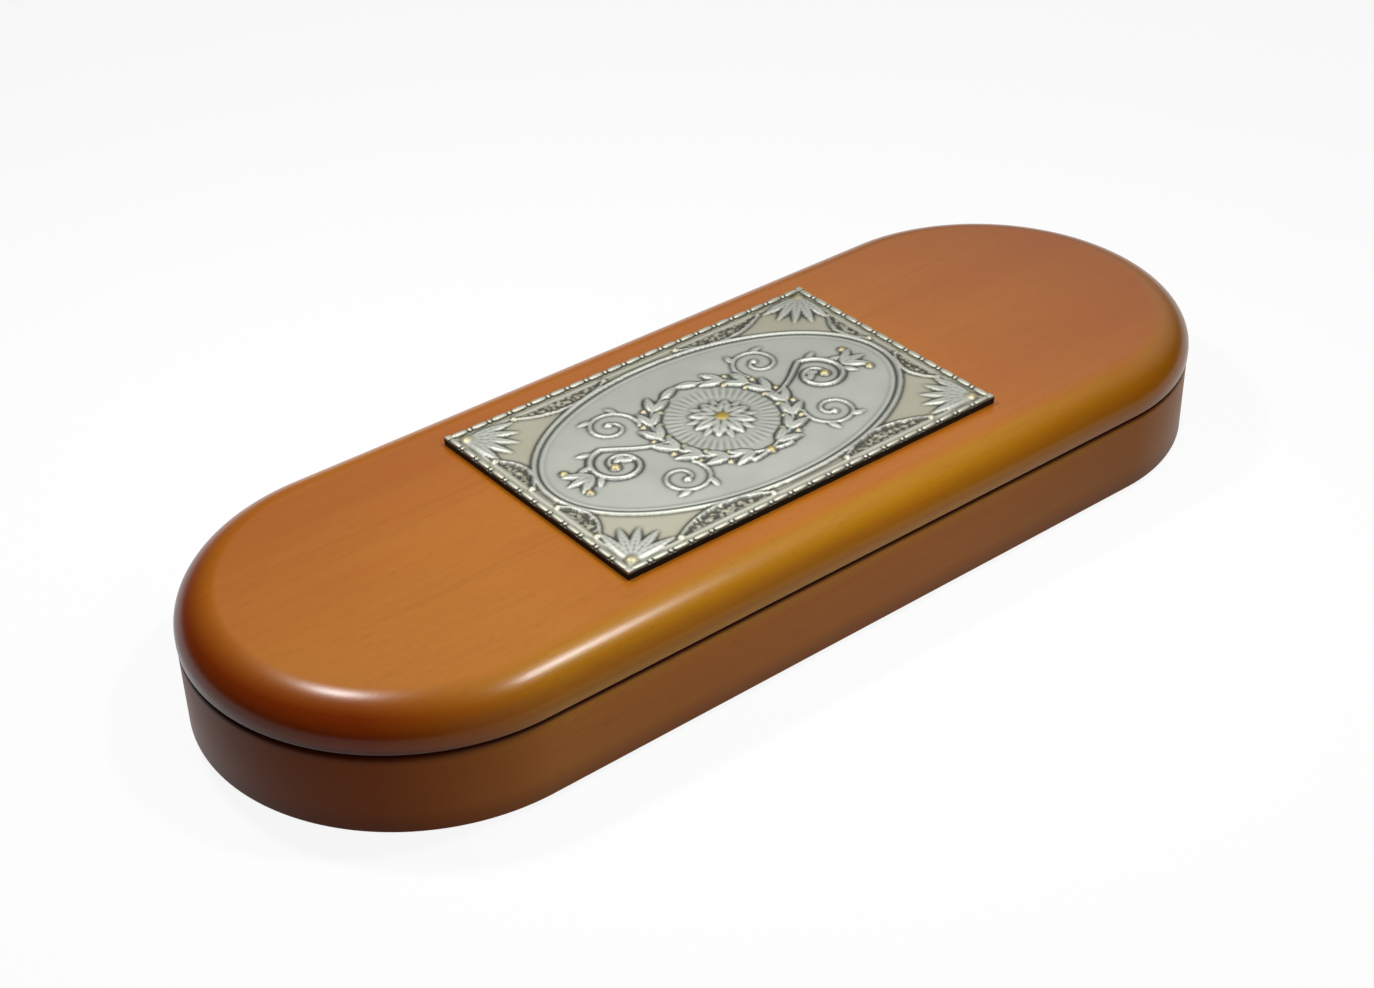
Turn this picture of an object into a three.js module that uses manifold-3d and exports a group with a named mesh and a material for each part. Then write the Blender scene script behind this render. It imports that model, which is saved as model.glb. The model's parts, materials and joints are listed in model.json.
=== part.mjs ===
// A wooden pen box: a stadium-shaped tray and a round-edged lid of stained beech, joined at the back
// by two small brass butt hinges, held shut by disc magnets, with an embossed silver plaque on the lid
// and a flocked rest for two pens inside. Millimetres, +X along the box, +Y to the hinges, +Z up.
import * as THREE from "three";
import Module from "manifold-3d";
import { mergeVertices } from "three/addons/utils/BufferGeometryUtils.js";

const wasm = await Module();
wasm.setup();

// The box as a whole
const boxLength = 200;
const boxWidth = 73.5;
const wall = 9;
const jointGap = 0.4; // the shadow line between lid and tray
const glueLine = 0.05;
const cutOverrun = 2; // how far a cutting shape passes the face that it cuts

// How many facets go round each kind of curve
const endSteps = 24; // each half-circle end
const roundoverSteps = 8;
const edgeSteps = 3;
const knuckleSteps = 18;
const discSteps = 20;
const smallSteps = 12; // pins, screws and their holes
const grooveSteps = 16;
const grooveEndSteps = 4;
const scoopSteps = 32;
const ovalSteps = 48;
const scrollSteps = 20;
const beadSteps = 10;

// The felt under the tray
const feltThickness = 0.8;
const feltInset = 3;

// The lower half
const trayHeight = 14.4;
const trayFloor = 2.8;
const trayFootRadius = 0.9;
const trayRimRadius = 0.7;
const lidOverhang = 0.3; // the lid stands this far out past the tray, all round

// The lid
const lidHeight = 7.2;
const lidRoof = 4;
const lidEdgeRadius = 0.5;
const roundoverWidth = 7;
const roundoverHeight = 5.8;

// The hinges and their screws
const hingeSpacing = 92;
const hingeLength = 24;
const knuckleCount = 5;
const knuckleRadius = 1.3;
const knuckleGap = 0.12;
const leafThickness = 0.8;
const leafWidth = 5.8; // from the pin's axis to the leaf's far edge
const pinRadius = 0.5;
const pinClearance = 0.1;
const pinHeadRadius = 0.8;
const pinHeadHeight = 0.35;
const pivotInset = 1.9; // the pin's axis lies this far inside the back of the box
const openAngle = 95;
const stopAllowance = 3; // degrees that the stop chamfers leave beyond the open angle
const mortiseClearance = 0.15;
const channelClearance = 0.25;
const screwSpacing = 13;
const screwLength = 4.6;
const screwHeadRadius = 1.2;
const screwShankRadius = 0.6;
const screwTipRadius = 0.12;
const screwTipLength = 1.3;
const screwSlotWidth = 0.3;
const screwSlotDepth = 0.25;
const screwClearance = 0.1;

// The magnets in the front rims
const magnetRadius = 2.5;
const magnetThickness = 2;
const magnetSpacing = 90;
const magnetProud = 0.15; // the lid lands on the magnets
const magnetClearance = 0.1;
const magnetEdge = 0.25;

// The pen rest
const restHeight = 7.6;
const restClearance = 0.3;
const restEdge = 0.8;
const penLength = 146;
const penRadius = 6.3; // of the groove
const penSpacing = 22;
const scoopRadius = 15;
const scoopDepth = 5.6;
const scoopLength = 44; // across both grooves

// The lining glued in the lid
const liningThickness = 1;
const liningClearance = 0.4;
const liningEdge = 0.35;

// The plaque
const plaqueLength = 79;
const plaqueWidth = 50.5;
const backingThickness = 0.7;
const sheetThickness = 0.35;
const reliefSink = 0.1; // how deep the relief's parts start inside the sheet

// Its edge: a bead-and-reel moulding, and an oval line inside
const mouldingRadius = 0.65;
const mouldingPitch = 4.1;
const ovalInset = 3.6; // from the plaque's edge to the middle of the oval line
const ovalRadius = 0.4;

// Its middle: a laurel wreath open at the top, round an eight-petalled flower
const wreathRadius = 12;
const wreathSteps = 7;
const wreathFromDegrees = 12; // from straight down, where the two branches cross
const wreathToDegrees = 160;
const laurelLength = 4.8;
const laurelWidth = 1.7;
const laurelHeight = 0.6;
const laurelSplayDegrees = 24;
const petalLength = 5.6;
const petalWidth = 2.9;
const petalHeight = 0.7;
const petalCount = 8;
const heartRadius = 1.5;
const heartHeight = 0.9;

// Beside it: a scroll on each hand, with three leaves towards the oval's end
const scrollRadius = 0.42;
const scrollTurns = 1.3;
const scrollOuter = 5.4;
const scrollInner = 1.2;
const scrollOffset = 21.8; // from the plaque's middle to each scroll's middle
const sprayLength = 5.2;
const sprayWidth = 1.8;
const sprayHeight = 0.5;
const sprayCount = 3;
const spraySpreadDegrees = 70;

// In its corners: palmettes, whose outer leaves trail along the edges
const palmetteInset = 2.8; // from the plaque's edge to the palmette's root
const palmetteLength = 9;
const palmetteWidth = 2;
const palmetteHeight = 0.5;
const palmetteCount = 5;
const palmetteSpreadDegrees = 84;

// Heights and places that follow from the sizes above
const trayBottom = feltThickness;
const trayTop = trayBottom + trayHeight;
const lidBottom = trayTop + jointGap;
const lidTop = lidBottom + lidHeight;
const lidCeiling = lidTop - lidRoof;
const pivotY = boxWidth / 2 - pivotInset;
const pivotZ = trayTop + jointGap / 2;
const backingTop = lidTop + glueLine + backingThickness;
const sheetBottom = backingTop + glueLine;
const sheetTop = sheetBottom + sheetThickness;

const stainedBeech = new THREE.MeshStandardMaterial({ color: 0xb9743a, roughness: 0.35, metalness: 0 });
const blackFelt = new THREE.MeshStandardMaterial({ color: 0x17181a, roughness: 0.95, metalness: 0 });
const blueFlock = new THREE.MeshStandardMaterial({ color: 0x131b3a, roughness: 0.95, metalness: 0 });
const satinLining = new THREE.MeshStandardMaterial({ color: 0x1a2448, roughness: 0.6, metalness: 0 });
const blackBoard = new THREE.MeshStandardMaterial({ color: 0x0d0c0c, roughness: 0.7, metalness: 0 });
const agedSilver = new THREE.MeshStandardMaterial({ color: 0xbdbcb0, roughness: 0.3, metalness: 1 });
const brass = new THREE.MeshStandardMaterial({ color: 0xc29a4a, roughness: 0.3, metalness: 1 });
const nickel = new THREE.MeshStandardMaterial({ color: 0xb4b6b8, roughness: 0.25, metalness: 1 });

// From a three.js geometry to a solid that can be cut and joined, and back
function solidOf(geometry) {
  const bare = geometry.index ? geometry.toNonIndexed() : geometry.clone();
  bare.deleteAttribute("normal");
  bare.deleteAttribute("uv");
  const merged = mergeVertices(bare);
  return new wasm.Manifold(
    new wasm.Mesh({
      numProp: 3,
      vertProperties: new Float32Array(merged.attributes.position.array),
      triVerts: new Uint32Array(merged.index.array),
    }),
  );
}

function geometryOf(solid) {
  const mesh = solid.getMesh();
  const geometry = new THREE.BufferGeometry();
  geometry.setAttribute("position", new THREE.BufferAttribute(mesh.vertProperties, 3));
  geometry.setIndex(new THREE.BufferAttribute(mesh.triVerts, 1));
  geometry.computeVertexNormals();
  return geometry;
}

function join(solids) {
  return solids.reduce((whole, next) => whole.add(next));
}

function cut(solid, tools) {
  return tools.reduce((rest, tool) => rest.subtract(tool), solid);
}

// A box from its lowest and highest corners
function block(low, high) {
  const size = high.clone().sub(low);
  const middle = high.clone().add(low).divideScalar(2);
  return solidOf(new THREE.BoxGeometry(size.x, size.y, size.z).translate(middle.x, middle.y, middle.z));
}

// A body turned about a line along X or Z, from [radius, distance along the line] pairs
function turned(profile, steps, alongX = false) {
  const points = profile.map(([radius, along]) => new THREE.Vector2(radius, along));
  const geometry = new THREE.LatheGeometry(points, steps);
  if (alongX) geometry.rotateZ(-Math.PI / 2);
  else geometry.rotateX(Math.PI / 2);
  return geometry;
}

// A skin over rings of points that each have as many points, closed on itself or capped at its ends.
// An end ring may be one point, repeated.
function loft(rings, closed = false) {
  const around = rings[0].length;
  const points = rings.flat();
  const positions = points.flatMap((point) => [point.x, point.y, point.z]);
  const indices = [];
  const facet = (a, b, c) => {
    const [p, q, r] = [points[a], points[b], points[c]];
    if (!p.equals(q) && !q.equals(r) && !r.equals(p)) indices.push(a, b, c);
  };
  const bands = closed ? rings.length : rings.length - 1;
  for (let band = 0; band < bands; band++) {
    const level = band * around;
    const above = ((band + 1) % rings.length) * around;
    for (let i = 0; i < around; i++) {
      const next = (i + 1) % around;
      facet(level + i, level + next, above + next);
      facet(level + i, above + next, above + i);
    }
  }
  const last = (rings.length - 1) * around;
  for (let i = 1; i + 1 < around && !closed; i++) {
    facet(0, i + 1, i);
    facet(last, last + i, last + i + 1);
  }
  const geometry = new THREE.BufferGeometry();
  geometry.setAttribute("position", new THREE.Float32BufferAttribute(positions, 3));
  geometry.setIndex(indices);
  return geometry;
}

// The outline of the box, drawn in by an inset, at one height
function stadium(length, width, inset, z) {
  const radius = width / 2 - inset;
  const centre = (length - width) / 2;
  const points = [];
  for (const side of [1, -1]) {
    for (let step = 0; step <= endSteps; step++) {
      const angle = (step / endSteps - 1 / 2) * Math.PI;
      points.push(
        new THREE.Vector3(side * (centre + radius * Math.cos(angle)), side * radius * Math.sin(angle), z),
      );
    }
  }
  return points;
}

function stadiumStack(profile) {
  return loft(profile.map(([inset, z]) => stadium(boxLength, boxWidth, inset, z)));
}

// A quarter round as [inset, height] pairs, from the upright wall to the flat face
function quarter(insetAtWall, zAtWall, width, height, steps) {
  return Array.from({ length: steps + 1 }, (_, step) => {
    const angle = ((step / steps) * Math.PI) / 2;
    return [insetAtWall + width * (1 - Math.cos(angle)), zAtWall + height * Math.sin(angle)];
  });
}

// What the hinges need cut out of the tray's rim and, mirrored, out of the lid's
const hingeCentres = [-hingeSpacing / 2, hingeSpacing / 2];
const screwOffsets = [-screwSpacing / 2, screwSpacing / 2];
const leafFlatFrom = knuckleRadius + channelClearance;
const screwY = pivotY - (leafFlatFrom + leafWidth) / 2;
const channelRadius = knuckleRadius + channelClearance;
const channelHalf = hingeLength / 2 + pinHeadHeight + mortiseClearance;
const headHeight = screwHeadRadius - screwShankRadius; // a 90 degree countersink
const stopAngle = THREE.MathUtils.degToRad((openAngle + stopAllowance) / 2);

// The wedge behind the hinge line: its two faces are the chamfers that stop the lid when it is open
function stopWedge() {
  const reach = pivotInset + cutOverrun;
  const rise = reach * Math.tan(stopAngle);
  const outline = new THREE.Shape([
    new THREE.Vector2(0, 0),
    new THREE.Vector2(reach, -rise),
    new THREE.Vector2(reach, rise),
  ]);
  const geometry = new THREE.ExtrudeGeometry(outline, { depth: boxLength, bevelEnabled: false });
  geometry.translate(0, 0, -boxLength / 2);
  geometry.rotateY(Math.PI / 2).rotateX(Math.PI / 2);
  return solidOf(geometry.translate(0, pivotY, pivotZ));
}

// side is -1 for the tray's rim, which the cuts enter downwards, and 1 for the lid's
function hingeCuts(side) {
  const face = pivotZ + (side * jointGap) / 2;
  const depth = leafThickness + glueLine;
  const cuts = [];
  for (const centre of hingeCentres) {
    const half = hingeLength / 2 + mortiseClearance;
    const levels = [face - side * cutOverrun, face + side * depth].sort((a, b) => a - b);
    const nearY = pivotY - leafWidth - mortiseClearance;
    cuts.push(
      block(
        new THREE.Vector3(centre - half, nearY, levels[0]),
        new THREE.Vector3(centre + half, pivotY, levels[1]),
      ),
    );
    const channel = new THREE.CylinderGeometry(channelRadius, channelRadius, 2 * channelHalf, knuckleSteps);
    cuts.push(solidOf(channel.rotateZ(Math.PI / 2).translate(centre, pivotY, pivotZ)));
    for (const offset of screwOffsets) {
      const pilotRadius = screwShankRadius + screwClearance;
      const pilotDepth = screwLength + screwClearance;
      const pilot = new THREE.CylinderGeometry(pilotRadius, pilotRadius, pilotDepth, smallSteps);
      pilot.rotateX(Math.PI / 2).translate(centre + offset, screwY, face + (side * pilotDepth) / 2);
      cuts.push(solidOf(pilot));
    }
  }
  return cuts;
}

const magnetY = -(boxWidth - wall) / 2;
const magnetXs = [-magnetSpacing / 2, magnetSpacing / 2];

function magnetPockets(side) {
  const face = side < 0 ? trayTop : lidBottom;
  const depth = magnetThickness - magnetProud + glueLine;
  const radius = magnetRadius + magnetClearance;
  return magnetXs.map((x) => {
    const pocket = new THREE.CylinderGeometry(radius, radius, depth + cutOverrun, discSteps);
    const middle = face + (side * (depth - cutOverrun)) / 2;
    return solidOf(pocket.rotateX(Math.PI / 2).translate(x, magnetY, middle));
  });
}

// The tray: foot radius, upright wall, eased rim, hollow
function trayShell() {
  const side = lidOverhang;
  const foot = quarter(side, trayBottom + trayFootRadius, trayFootRadius, -trayFootRadius, edgeSteps);
  const rim = quarter(side, trayTop - trayRimRadius, trayRimRadius, trayRimRadius, edgeSteps);
  const hollow = [
    [wall, trayTop],
    [wall, trayBottom + trayFloor],
  ];
  const shell = solidOf(stadiumStack([...foot.reverse(), ...rim, ...hollow]));
  return cut(shell, [stopWedge(), ...hingeCuts(-1), ...magnetPockets(-1)]);
}

// The lid: shallow hollow below, narrow upright edge, wide round-over up to the flat top
function lidShell() {
  const hollow = [
    [wall, lidCeiling],
    [wall, lidBottom],
  ];
  const edge = quarter(0, lidBottom + lidEdgeRadius, lidEdgeRadius, -lidEdgeRadius, edgeSteps);
  const round = quarter(0, lidTop - roundoverHeight, roundoverWidth, roundoverHeight, roundoverSteps);
  const shell = solidOf(stadiumStack([...hollow, ...edge.reverse(), ...round]));
  return cut(shell, [stopWedge(), ...hingeCuts(1), ...magnetPockets(1)]);
}

function baseFelt() {
  return stadiumStack([
    [feltInset, 0],
    [feltInset, feltThickness - glueLine],
  ]);
}

// Half-round grooves for two pens, and one scoop across both for the fingers
function penRest() {
  const bottom = trayBottom + trayFloor + glueLine;
  const top = bottom + restHeight;
  const inset = wall + restClearance;
  const edge = quarter(inset, top - restEdge, restEdge, restEdge, edgeSteps);
  const body = solidOf(stadiumStack([[inset, bottom], ...edge]));
  const grooves = [-penSpacing / 2, penSpacing / 2].map((y) => {
    const straight = penLength - 2 * penRadius;
    const groove = new THREE.CapsuleGeometry(penRadius, straight, grooveEndSteps, grooveSteps);
    return solidOf(groove.rotateZ(Math.PI / 2).translate(0, y, top));
  });
  const scoop = new THREE.CylinderGeometry(scoopRadius, scoopRadius, scoopLength, scoopSteps);
  return cut(body, [...grooves, solidOf(scoop.translate(0, 0, top + scoopRadius - scoopDepth))]);
}

function lidLining() {
  const top = lidCeiling - glueLine;
  const bottom = top - liningThickness;
  const inset = wall + liningClearance;
  return stadiumStack([
    [inset + liningEdge, bottom],
    [inset, bottom + liningEdge],
    [inset, top],
  ]);
}

// One leaf of a hinge, with its own knuckles: side -1 lies in the tray's rim, side 1 in the lid's
function hingeLeaf(centre, side) {
  const pitch = hingeLength / knuckleCount;
  const boreRadius = pinRadius + pinClearance;
  const near = (side * jointGap) / 2;
  const levels = [near, near + side * leafThickness].sort((a, b) => a - b);
  const plateFrom = -leafWidth;
  const plateTo = -leafFlatFrom;
  const half = hingeLength / 2;
  const pieces = [
    block(new THREE.Vector3(-half, plateFrom, levels[0]), new THREE.Vector3(half, plateTo, levels[1])),
  ];
  for (let i = side < 0 ? 0 : 1; i < knuckleCount; i += 2) {
    const start = -half + i * pitch + (i > 0 ? knuckleGap / 2 : 0);
    const end = -half + (i + 1) * pitch - (i + 1 < knuckleCount ? knuckleGap / 2 : 0);
    const tabFrom = new THREE.Vector3(start, plateTo - leafThickness, levels[0]);
    pieces.push(block(tabFrom, new THREE.Vector3(end, -(knuckleRadius + boreRadius) / 2, levels[1])));
    const barrel = new THREE.CylinderGeometry(knuckleRadius, knuckleRadius, end - start, knuckleSteps);
    pieces.push(solidOf(barrel.rotateZ(Math.PI / 2).translate((start + end) / 2, 0, 0)));
  }
  const bore = new THREE.CylinderGeometry(boreRadius, boreRadius, hingeLength + cutOverrun, smallSteps);
  const cuts = [solidOf(bore.rotateZ(Math.PI / 2))];
  for (const offset of screwOffsets) {
    const wide = screwHeadRadius + screwClearance;
    const narrow = screwShankRadius + screwClearance;
    const profile = [
      [0, -cutOverrun],
      [wide, -cutOverrun],
      [wide, 0],
      [narrow, headHeight],
      [narrow, leafThickness + cutOverrun],
      [0, leafThickness + cutOverrun],
    ];
    const hole = turned(profile, smallSteps);
    if (side < 0) hole.rotateX(Math.PI);
    cuts.push(solidOf(hole.translate(offset, screwY - pivotY, near)));
  }
  return geometryOf(cut(join(pieces), cuts)).translate(centre, pivotY, pivotZ);
}

function hingePin(centre) {
  const half = hingeLength / 2 + knuckleGap / 2;
  const profile = [
    [0, -half - pinHeadHeight],
    [pinRadius, -half - pinHeadHeight],
    [pinHeadRadius, -half - pinHeadHeight / 2],
    [pinHeadRadius, -half],
    [pinRadius, -half],
    [pinRadius, half],
    [pinHeadRadius, half],
    [pinHeadRadius, half + pinHeadHeight / 2],
    [pinRadius, half + pinHeadHeight],
    [0, half + pinHeadHeight],
  ];
  return turned(profile, smallSteps, true).translate(centre, pivotY, pivotZ);
}

// A slotted countersunk wood screw, its head level with the leaf, pointing away from the joint
function hingeScrew(x, side) {
  const profile = [
    [0, 0],
    [screwHeadRadius, 0],
    [screwShankRadius, headHeight],
    [screwShankRadius, screwLength - screwTipLength],
    [screwTipRadius, screwLength],
    [0, screwLength],
  ];
  const half = screwHeadRadius + cutOverrun;
  const slot = block(
    new THREE.Vector3(-half, -screwSlotWidth / 2, -cutOverrun),
    new THREE.Vector3(half, screwSlotWidth / 2, screwSlotDepth),
  );
  const screw = geometryOf(cut(solidOf(turned(profile, smallSteps)), [slot]));
  if (side < 0) screw.rotateX(Math.PI);
  return screw.translate(x, screwY, pivotZ + (side * jointGap) / 2);
}

function magnet(x, side) {
  const profile = [
    [0, 0],
    [magnetRadius - magnetEdge, 0],
    [magnetRadius, magnetEdge],
    [magnetRadius, magnetThickness],
    [0, magnetThickness],
  ];
  const disc = turned(profile, discSteps);
  if (side < 0) disc.rotateX(Math.PI);
  const face = side < 0 ? trayTop + magnetProud : lidBottom - magnetProud;
  return disc.translate(x, magnetY, face);
}

// The plaque's edge moulding along X: a reel and a bead in each pitch, as shares of the pitch
// and of the moulding's radius
const reelAndBeadShares = [
  [0, 0.45],
  [0.08, 0.95],
  [0.54, 0.95],
  [0.62, 0.45],
  [0.81, 0.9],
];

function beadAndReel(length) {
  const repeats = Math.round(length / mouldingPitch);
  const pitch = length / repeats;
  const stations = [];
  for (let i = 0; i < repeats; i++) {
    for (const [along, girth] of reelAndBeadShares) stations.push([(i + along) * pitch, girth]);
  }
  stations.push([length, reelAndBeadShares[0][1]]);
  const rings = stations.map(([x, girth]) =>
    domeSection(girth * mouldingRadius).map(([out, up]) => new THREE.Vector3(x - length / 2, out, up)),
  );
  return solidOf(loft(rings));
}

// Half of a six-sided bar, lying on the sheet with its foot sunk in it, as [out, up] pairs
function domeSection(radius) {
  const rise = radius * Math.sin(Math.PI / 3);
  return [
    [radius, -reliefSink],
    [radius / 2, rise],
    [-radius / 2, rise],
    [-radius, -reliefSink],
  ];
}

// A bar of that section, bent along points that lie flat
function bar(points, radius, closed) {
  const last = points.length - 1;
  const rings = points.map((point, i) => {
    const before = points[closed ? (i + last) % (last + 1) : Math.max(i - 1, 0)];
    const after = points[closed ? (i + 1) % (last + 1) : Math.min(i + 1, last)];
    const across = new THREE.Vector2(after.y - before.y, before.x - after.x).normalize();
    return domeSection(radius).map(
      ([out, up]) => new THREE.Vector3(point.x - out * across.x, point.y - out * across.y, up),
    );
  });
  return solidOf(loft(rings, closed));
}

// A leaf or petal from the origin along +X, ridged down its middle. Its stations are shares of its
// length, width and height.
const leafStationShares = [
  [0.25, 0.9],
  [0.62, 1],
];

function leaf(length, width, height) {
  const rings = leafStationShares.map(([along, girth]) => [
    new THREE.Vector3(along * length, (girth * width) / 2, -reliefSink),
    new THREE.Vector3(along * length, 0, girth * height),
    new THREE.Vector3(along * length, (-girth * width) / 2, -reliefSink),
  ]);
  const point = (x) => Array.from({ length: 3 }, () => new THREE.Vector3(x, 0, -reliefSink));
  return solidOf(loft([point(0), ...rings, point(length)]));
}

function onSheet(solid, x, y, heading = 0) {
  return solid.rotate([0, 0, THREE.MathUtils.radToDeg(heading)]).translate([x, y, sheetTop]);
}

// Headings spread evenly about one, from half the spread on one side of it to half on the other
function spread(about, count, degrees) {
  const whole = THREE.MathUtils.degToRad(degrees);
  return Array.from({ length: count }, (_, i) => about + (i / (count - 1) - 1 / 2) * whole);
}

function edgeMoulding() {
  const fromMiddleX = plaqueLength / 2 - mouldingRadius;
  const fromMiddleY = plaqueWidth / 2 - mouldingRadius;
  const along = beadAndReel(plaqueLength);
  const across = beadAndReel(plaqueWidth);
  return [-1, 1].flatMap((sign) => [
    onSheet(along, 0, sign * fromMiddleY),
    onSheet(across, sign * fromMiddleX, 0, Math.PI / 2),
  ]);
}

function ovalLine() {
  const curve = new THREE.EllipseCurve(0, 0, plaqueLength / 2 - ovalInset, plaqueWidth / 2 - ovalInset);
  return onSheet(bar(curve.getPoints(ovalSteps).slice(1), ovalRadius, true), 0, 0);
}

// Two branches from straight down to either side of the gap at the top, a leaf on each side of each
// stem and one at its tip
function laurelWreath() {
  const blade = leaf(laurelLength, laurelWidth, laurelHeight);
  const splay = THREE.MathUtils.degToRad(laurelSplayDegrees);
  const leaves = [];
  for (const hand of [-1, 1]) {
    for (let step = 0; step <= wreathSteps; step++) {
      const along = wreathFromDegrees + (step / wreathSteps) * (wreathToDegrees - wreathFromDegrees);
      const angle = -Math.PI / 2 + hand * THREE.MathUtils.degToRad(along);
      const heading = angle + (hand * Math.PI) / 2;
      const [x, y] = [wreathRadius * Math.cos(angle), wreathRadius * Math.sin(angle)];
      const turns = step < wreathSteps ? [-splay, splay] : [0];
      for (const turn of turns) leaves.push(onSheet(blade, x, y, heading + turn));
    }
  }
  return leaves;
}

function flower() {
  const petal = leaf(petalLength, petalWidth, petalHeight);
  const headings = Array.from({ length: petalCount }, (_, i) => (i / petalCount) * 2 * Math.PI);
  const heart = new THREE.SphereGeometry(1, beadSteps, beadSteps).scale(heartRadius, heartRadius, heartHeight);
  return [...headings.map((heading) => onSheet(petal, 0, 0, heading)), onSheet(solidOf(heart), 0, 0)];
}

// The scroll winds in from the wreath, and the spray of leaves grows from its outer side
function scrollAndSpray(hand) {
  const centre = hand * scrollOffset;
  const points = Array.from({ length: scrollSteps + 1 }, (_, step) => {
    const share = step / scrollSteps;
    const radius = scrollOuter + (scrollInner - scrollOuter) * share;
    const angle = Math.PI / 2 + share * scrollTurns * 2 * Math.PI;
    return new THREE.Vector2(centre - hand * radius * Math.cos(angle), radius * Math.sin(angle));
  });
  const blade = leaf(sprayLength, sprayWidth, sprayHeight);
  const outward = hand > 0 ? 0 : Math.PI;
  const headings = spread(outward, sprayCount, spraySpreadDegrees);
  const root = centre + hand * scrollOuter;
  return [
    onSheet(bar(points, scrollRadius, false), 0, 0),
    ...headings.map((heading) => onSheet(blade, root, 0, heading)),
  ];
}

function palmette(signX, signY) {
  const inward = Math.atan2(-signY, -signX);
  const blade = leaf(palmetteLength, palmetteWidth, palmetteHeight);
  const x = signX * (plaqueLength / 2 - palmetteInset);
  const y = signY * (plaqueWidth / 2 - palmetteInset);
  const headings = spread(inward, palmetteCount, palmetteSpreadDegrees);
  return headings.map((heading) => onSheet(blade, x, y, heading));
}

// The embossed sheet, trimmed level with the backing's edges
function plaqueSheet() {
  const cornerOf = (sign, z) => new THREE.Vector3((sign * plaqueLength) / 2, (sign * plaqueWidth) / 2, z);
  const relief = [
    ...edgeMoulding(),
    ovalLine(),
    ...laurelWreath(),
    ...flower(),
    ...[-1, 1].flatMap((hand) => scrollAndSpray(hand)),
    ...[-1, 1].flatMap((signX) => [-1, 1].flatMap((signY) => palmette(signX, signY))),
  ];
  const sheet = block(cornerOf(-1, sheetBottom), cornerOf(1, sheetTop));
  const trim = block(cornerOf(-1, sheetBottom), cornerOf(1, sheetTop + plaqueWidth));
  return join([sheet, ...relief]).intersect(trim);
}

function plaqueBacking() {
  return block(
    new THREE.Vector3(-plaqueLength / 2, -plaqueWidth / 2, lidTop + glueLine),
    new THREE.Vector3(plaqueLength / 2, plaqueWidth / 2, backingTop),
  );
}

const penBox = new THREE.Group();

function add(name, shape, material) {
  const geometry = shape.isBufferGeometry ? shape : geometryOf(shape);
  const mesh = new THREE.Mesh(geometry, material);
  mesh.name = name;
  penBox.add(mesh);
}

add("base_felt", baseFelt(), blackFelt);
add("tray_shell", trayShell(), stainedBeech);
add("pen_rest", penRest(), blueFlock);
add("lid_shell", lidShell(), stainedBeech);
add("lid_lining", lidLining(), satinLining);
add("plaque_backing", plaqueBacking(), blackBoard);
add("plaque_sheet", plaqueSheet(), agedSilver);
["left", "right"].forEach((hand, h) => {
  add(`${hand}_hinge_pin`, hingePin(hingeCentres[h]), brass);
  [["tray", -1], ["lid", 1]].forEach(([half, side]) => {
    add(`${hand}_hinge_${half}_leaf`, hingeLeaf(hingeCentres[h], side), brass);
    screwOffsets.forEach((offset, s) => {
      add(`${hand}_hinge_${half}_screw_${s + 1}`, hingeScrew(hingeCentres[h] + offset, side), brass);
    });
    add(`${hand}_${half}_magnet`, magnet(magnetXs[h], side), nickel);
  });
});

export default penBox;
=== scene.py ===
# The looks of a wooden pen box: stained and lacquered beech, an embossed silver plaque on its lid,
# brass hinges, magnets, felt and flock. Metres, +X along the box, +Y to the hinges, +Z up.
import json
import math

import bmesh
import bpy
import numpy as np
from mathutils import Matrix, Vector


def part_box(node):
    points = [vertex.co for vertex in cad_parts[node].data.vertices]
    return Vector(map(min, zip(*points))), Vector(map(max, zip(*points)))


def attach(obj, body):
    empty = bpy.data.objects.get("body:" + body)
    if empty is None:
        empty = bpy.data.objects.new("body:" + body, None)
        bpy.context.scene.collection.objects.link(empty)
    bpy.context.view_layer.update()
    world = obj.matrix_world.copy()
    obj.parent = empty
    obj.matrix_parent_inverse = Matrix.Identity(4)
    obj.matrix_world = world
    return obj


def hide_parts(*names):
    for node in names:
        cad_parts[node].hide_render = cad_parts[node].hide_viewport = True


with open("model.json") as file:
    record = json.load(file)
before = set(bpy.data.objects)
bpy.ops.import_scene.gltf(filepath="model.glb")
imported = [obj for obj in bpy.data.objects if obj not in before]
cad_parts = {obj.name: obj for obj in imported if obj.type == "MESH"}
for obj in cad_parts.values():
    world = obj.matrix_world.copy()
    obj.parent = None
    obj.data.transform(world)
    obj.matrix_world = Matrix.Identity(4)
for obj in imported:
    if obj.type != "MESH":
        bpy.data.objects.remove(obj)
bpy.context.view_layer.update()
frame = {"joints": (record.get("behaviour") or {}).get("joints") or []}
mm = 0.001
hair = 0.001 * mm  # what is nearer than this counts as touching


def rawColour(hexColour):
    # an sRGB hex value as the linear colour that shaders take
    parts = [int(hexColour[i : i + 2], 16) / 255 for i in (1, 3, 5)]
    return [p / 12.92 if p <= 0.04045 else ((p + 0.055) / 1.055) ** 2.4 for p in parts] + [1]


# Bench tools

def deselectAll():
    if bpy.context.object and bpy.context.object.mode == "EDIT":
        bpy.ops.object.mode_set(mode="OBJECT")
    bpy.ops.object.select_all(action="DESELECT")


def workOn(piece):
    deselectAll()
    piece.select_set(True)
    bpy.context.view_layer.objects.active = piece


def openMesh(piece):
    workOn(piece)
    bpy.ops.object.mode_set(mode="EDIT")
    bpy.ops.mesh.select_all(action="SELECT")


def closeMesh():
    bpy.ops.object.mode_set(mode="OBJECT")


def newest(name):
    piece = bpy.context.object
    piece.name = name
    piece.data.name = name
    return piece


def applyPlace(piece):
    workOn(piece)
    bpy.ops.object.transform_apply(location=True, rotation=True, scale=True)
    return piece


def moved(piece, shift):
    piece.data.transform(Matrix.Translation(shift))
    return piece


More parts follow.
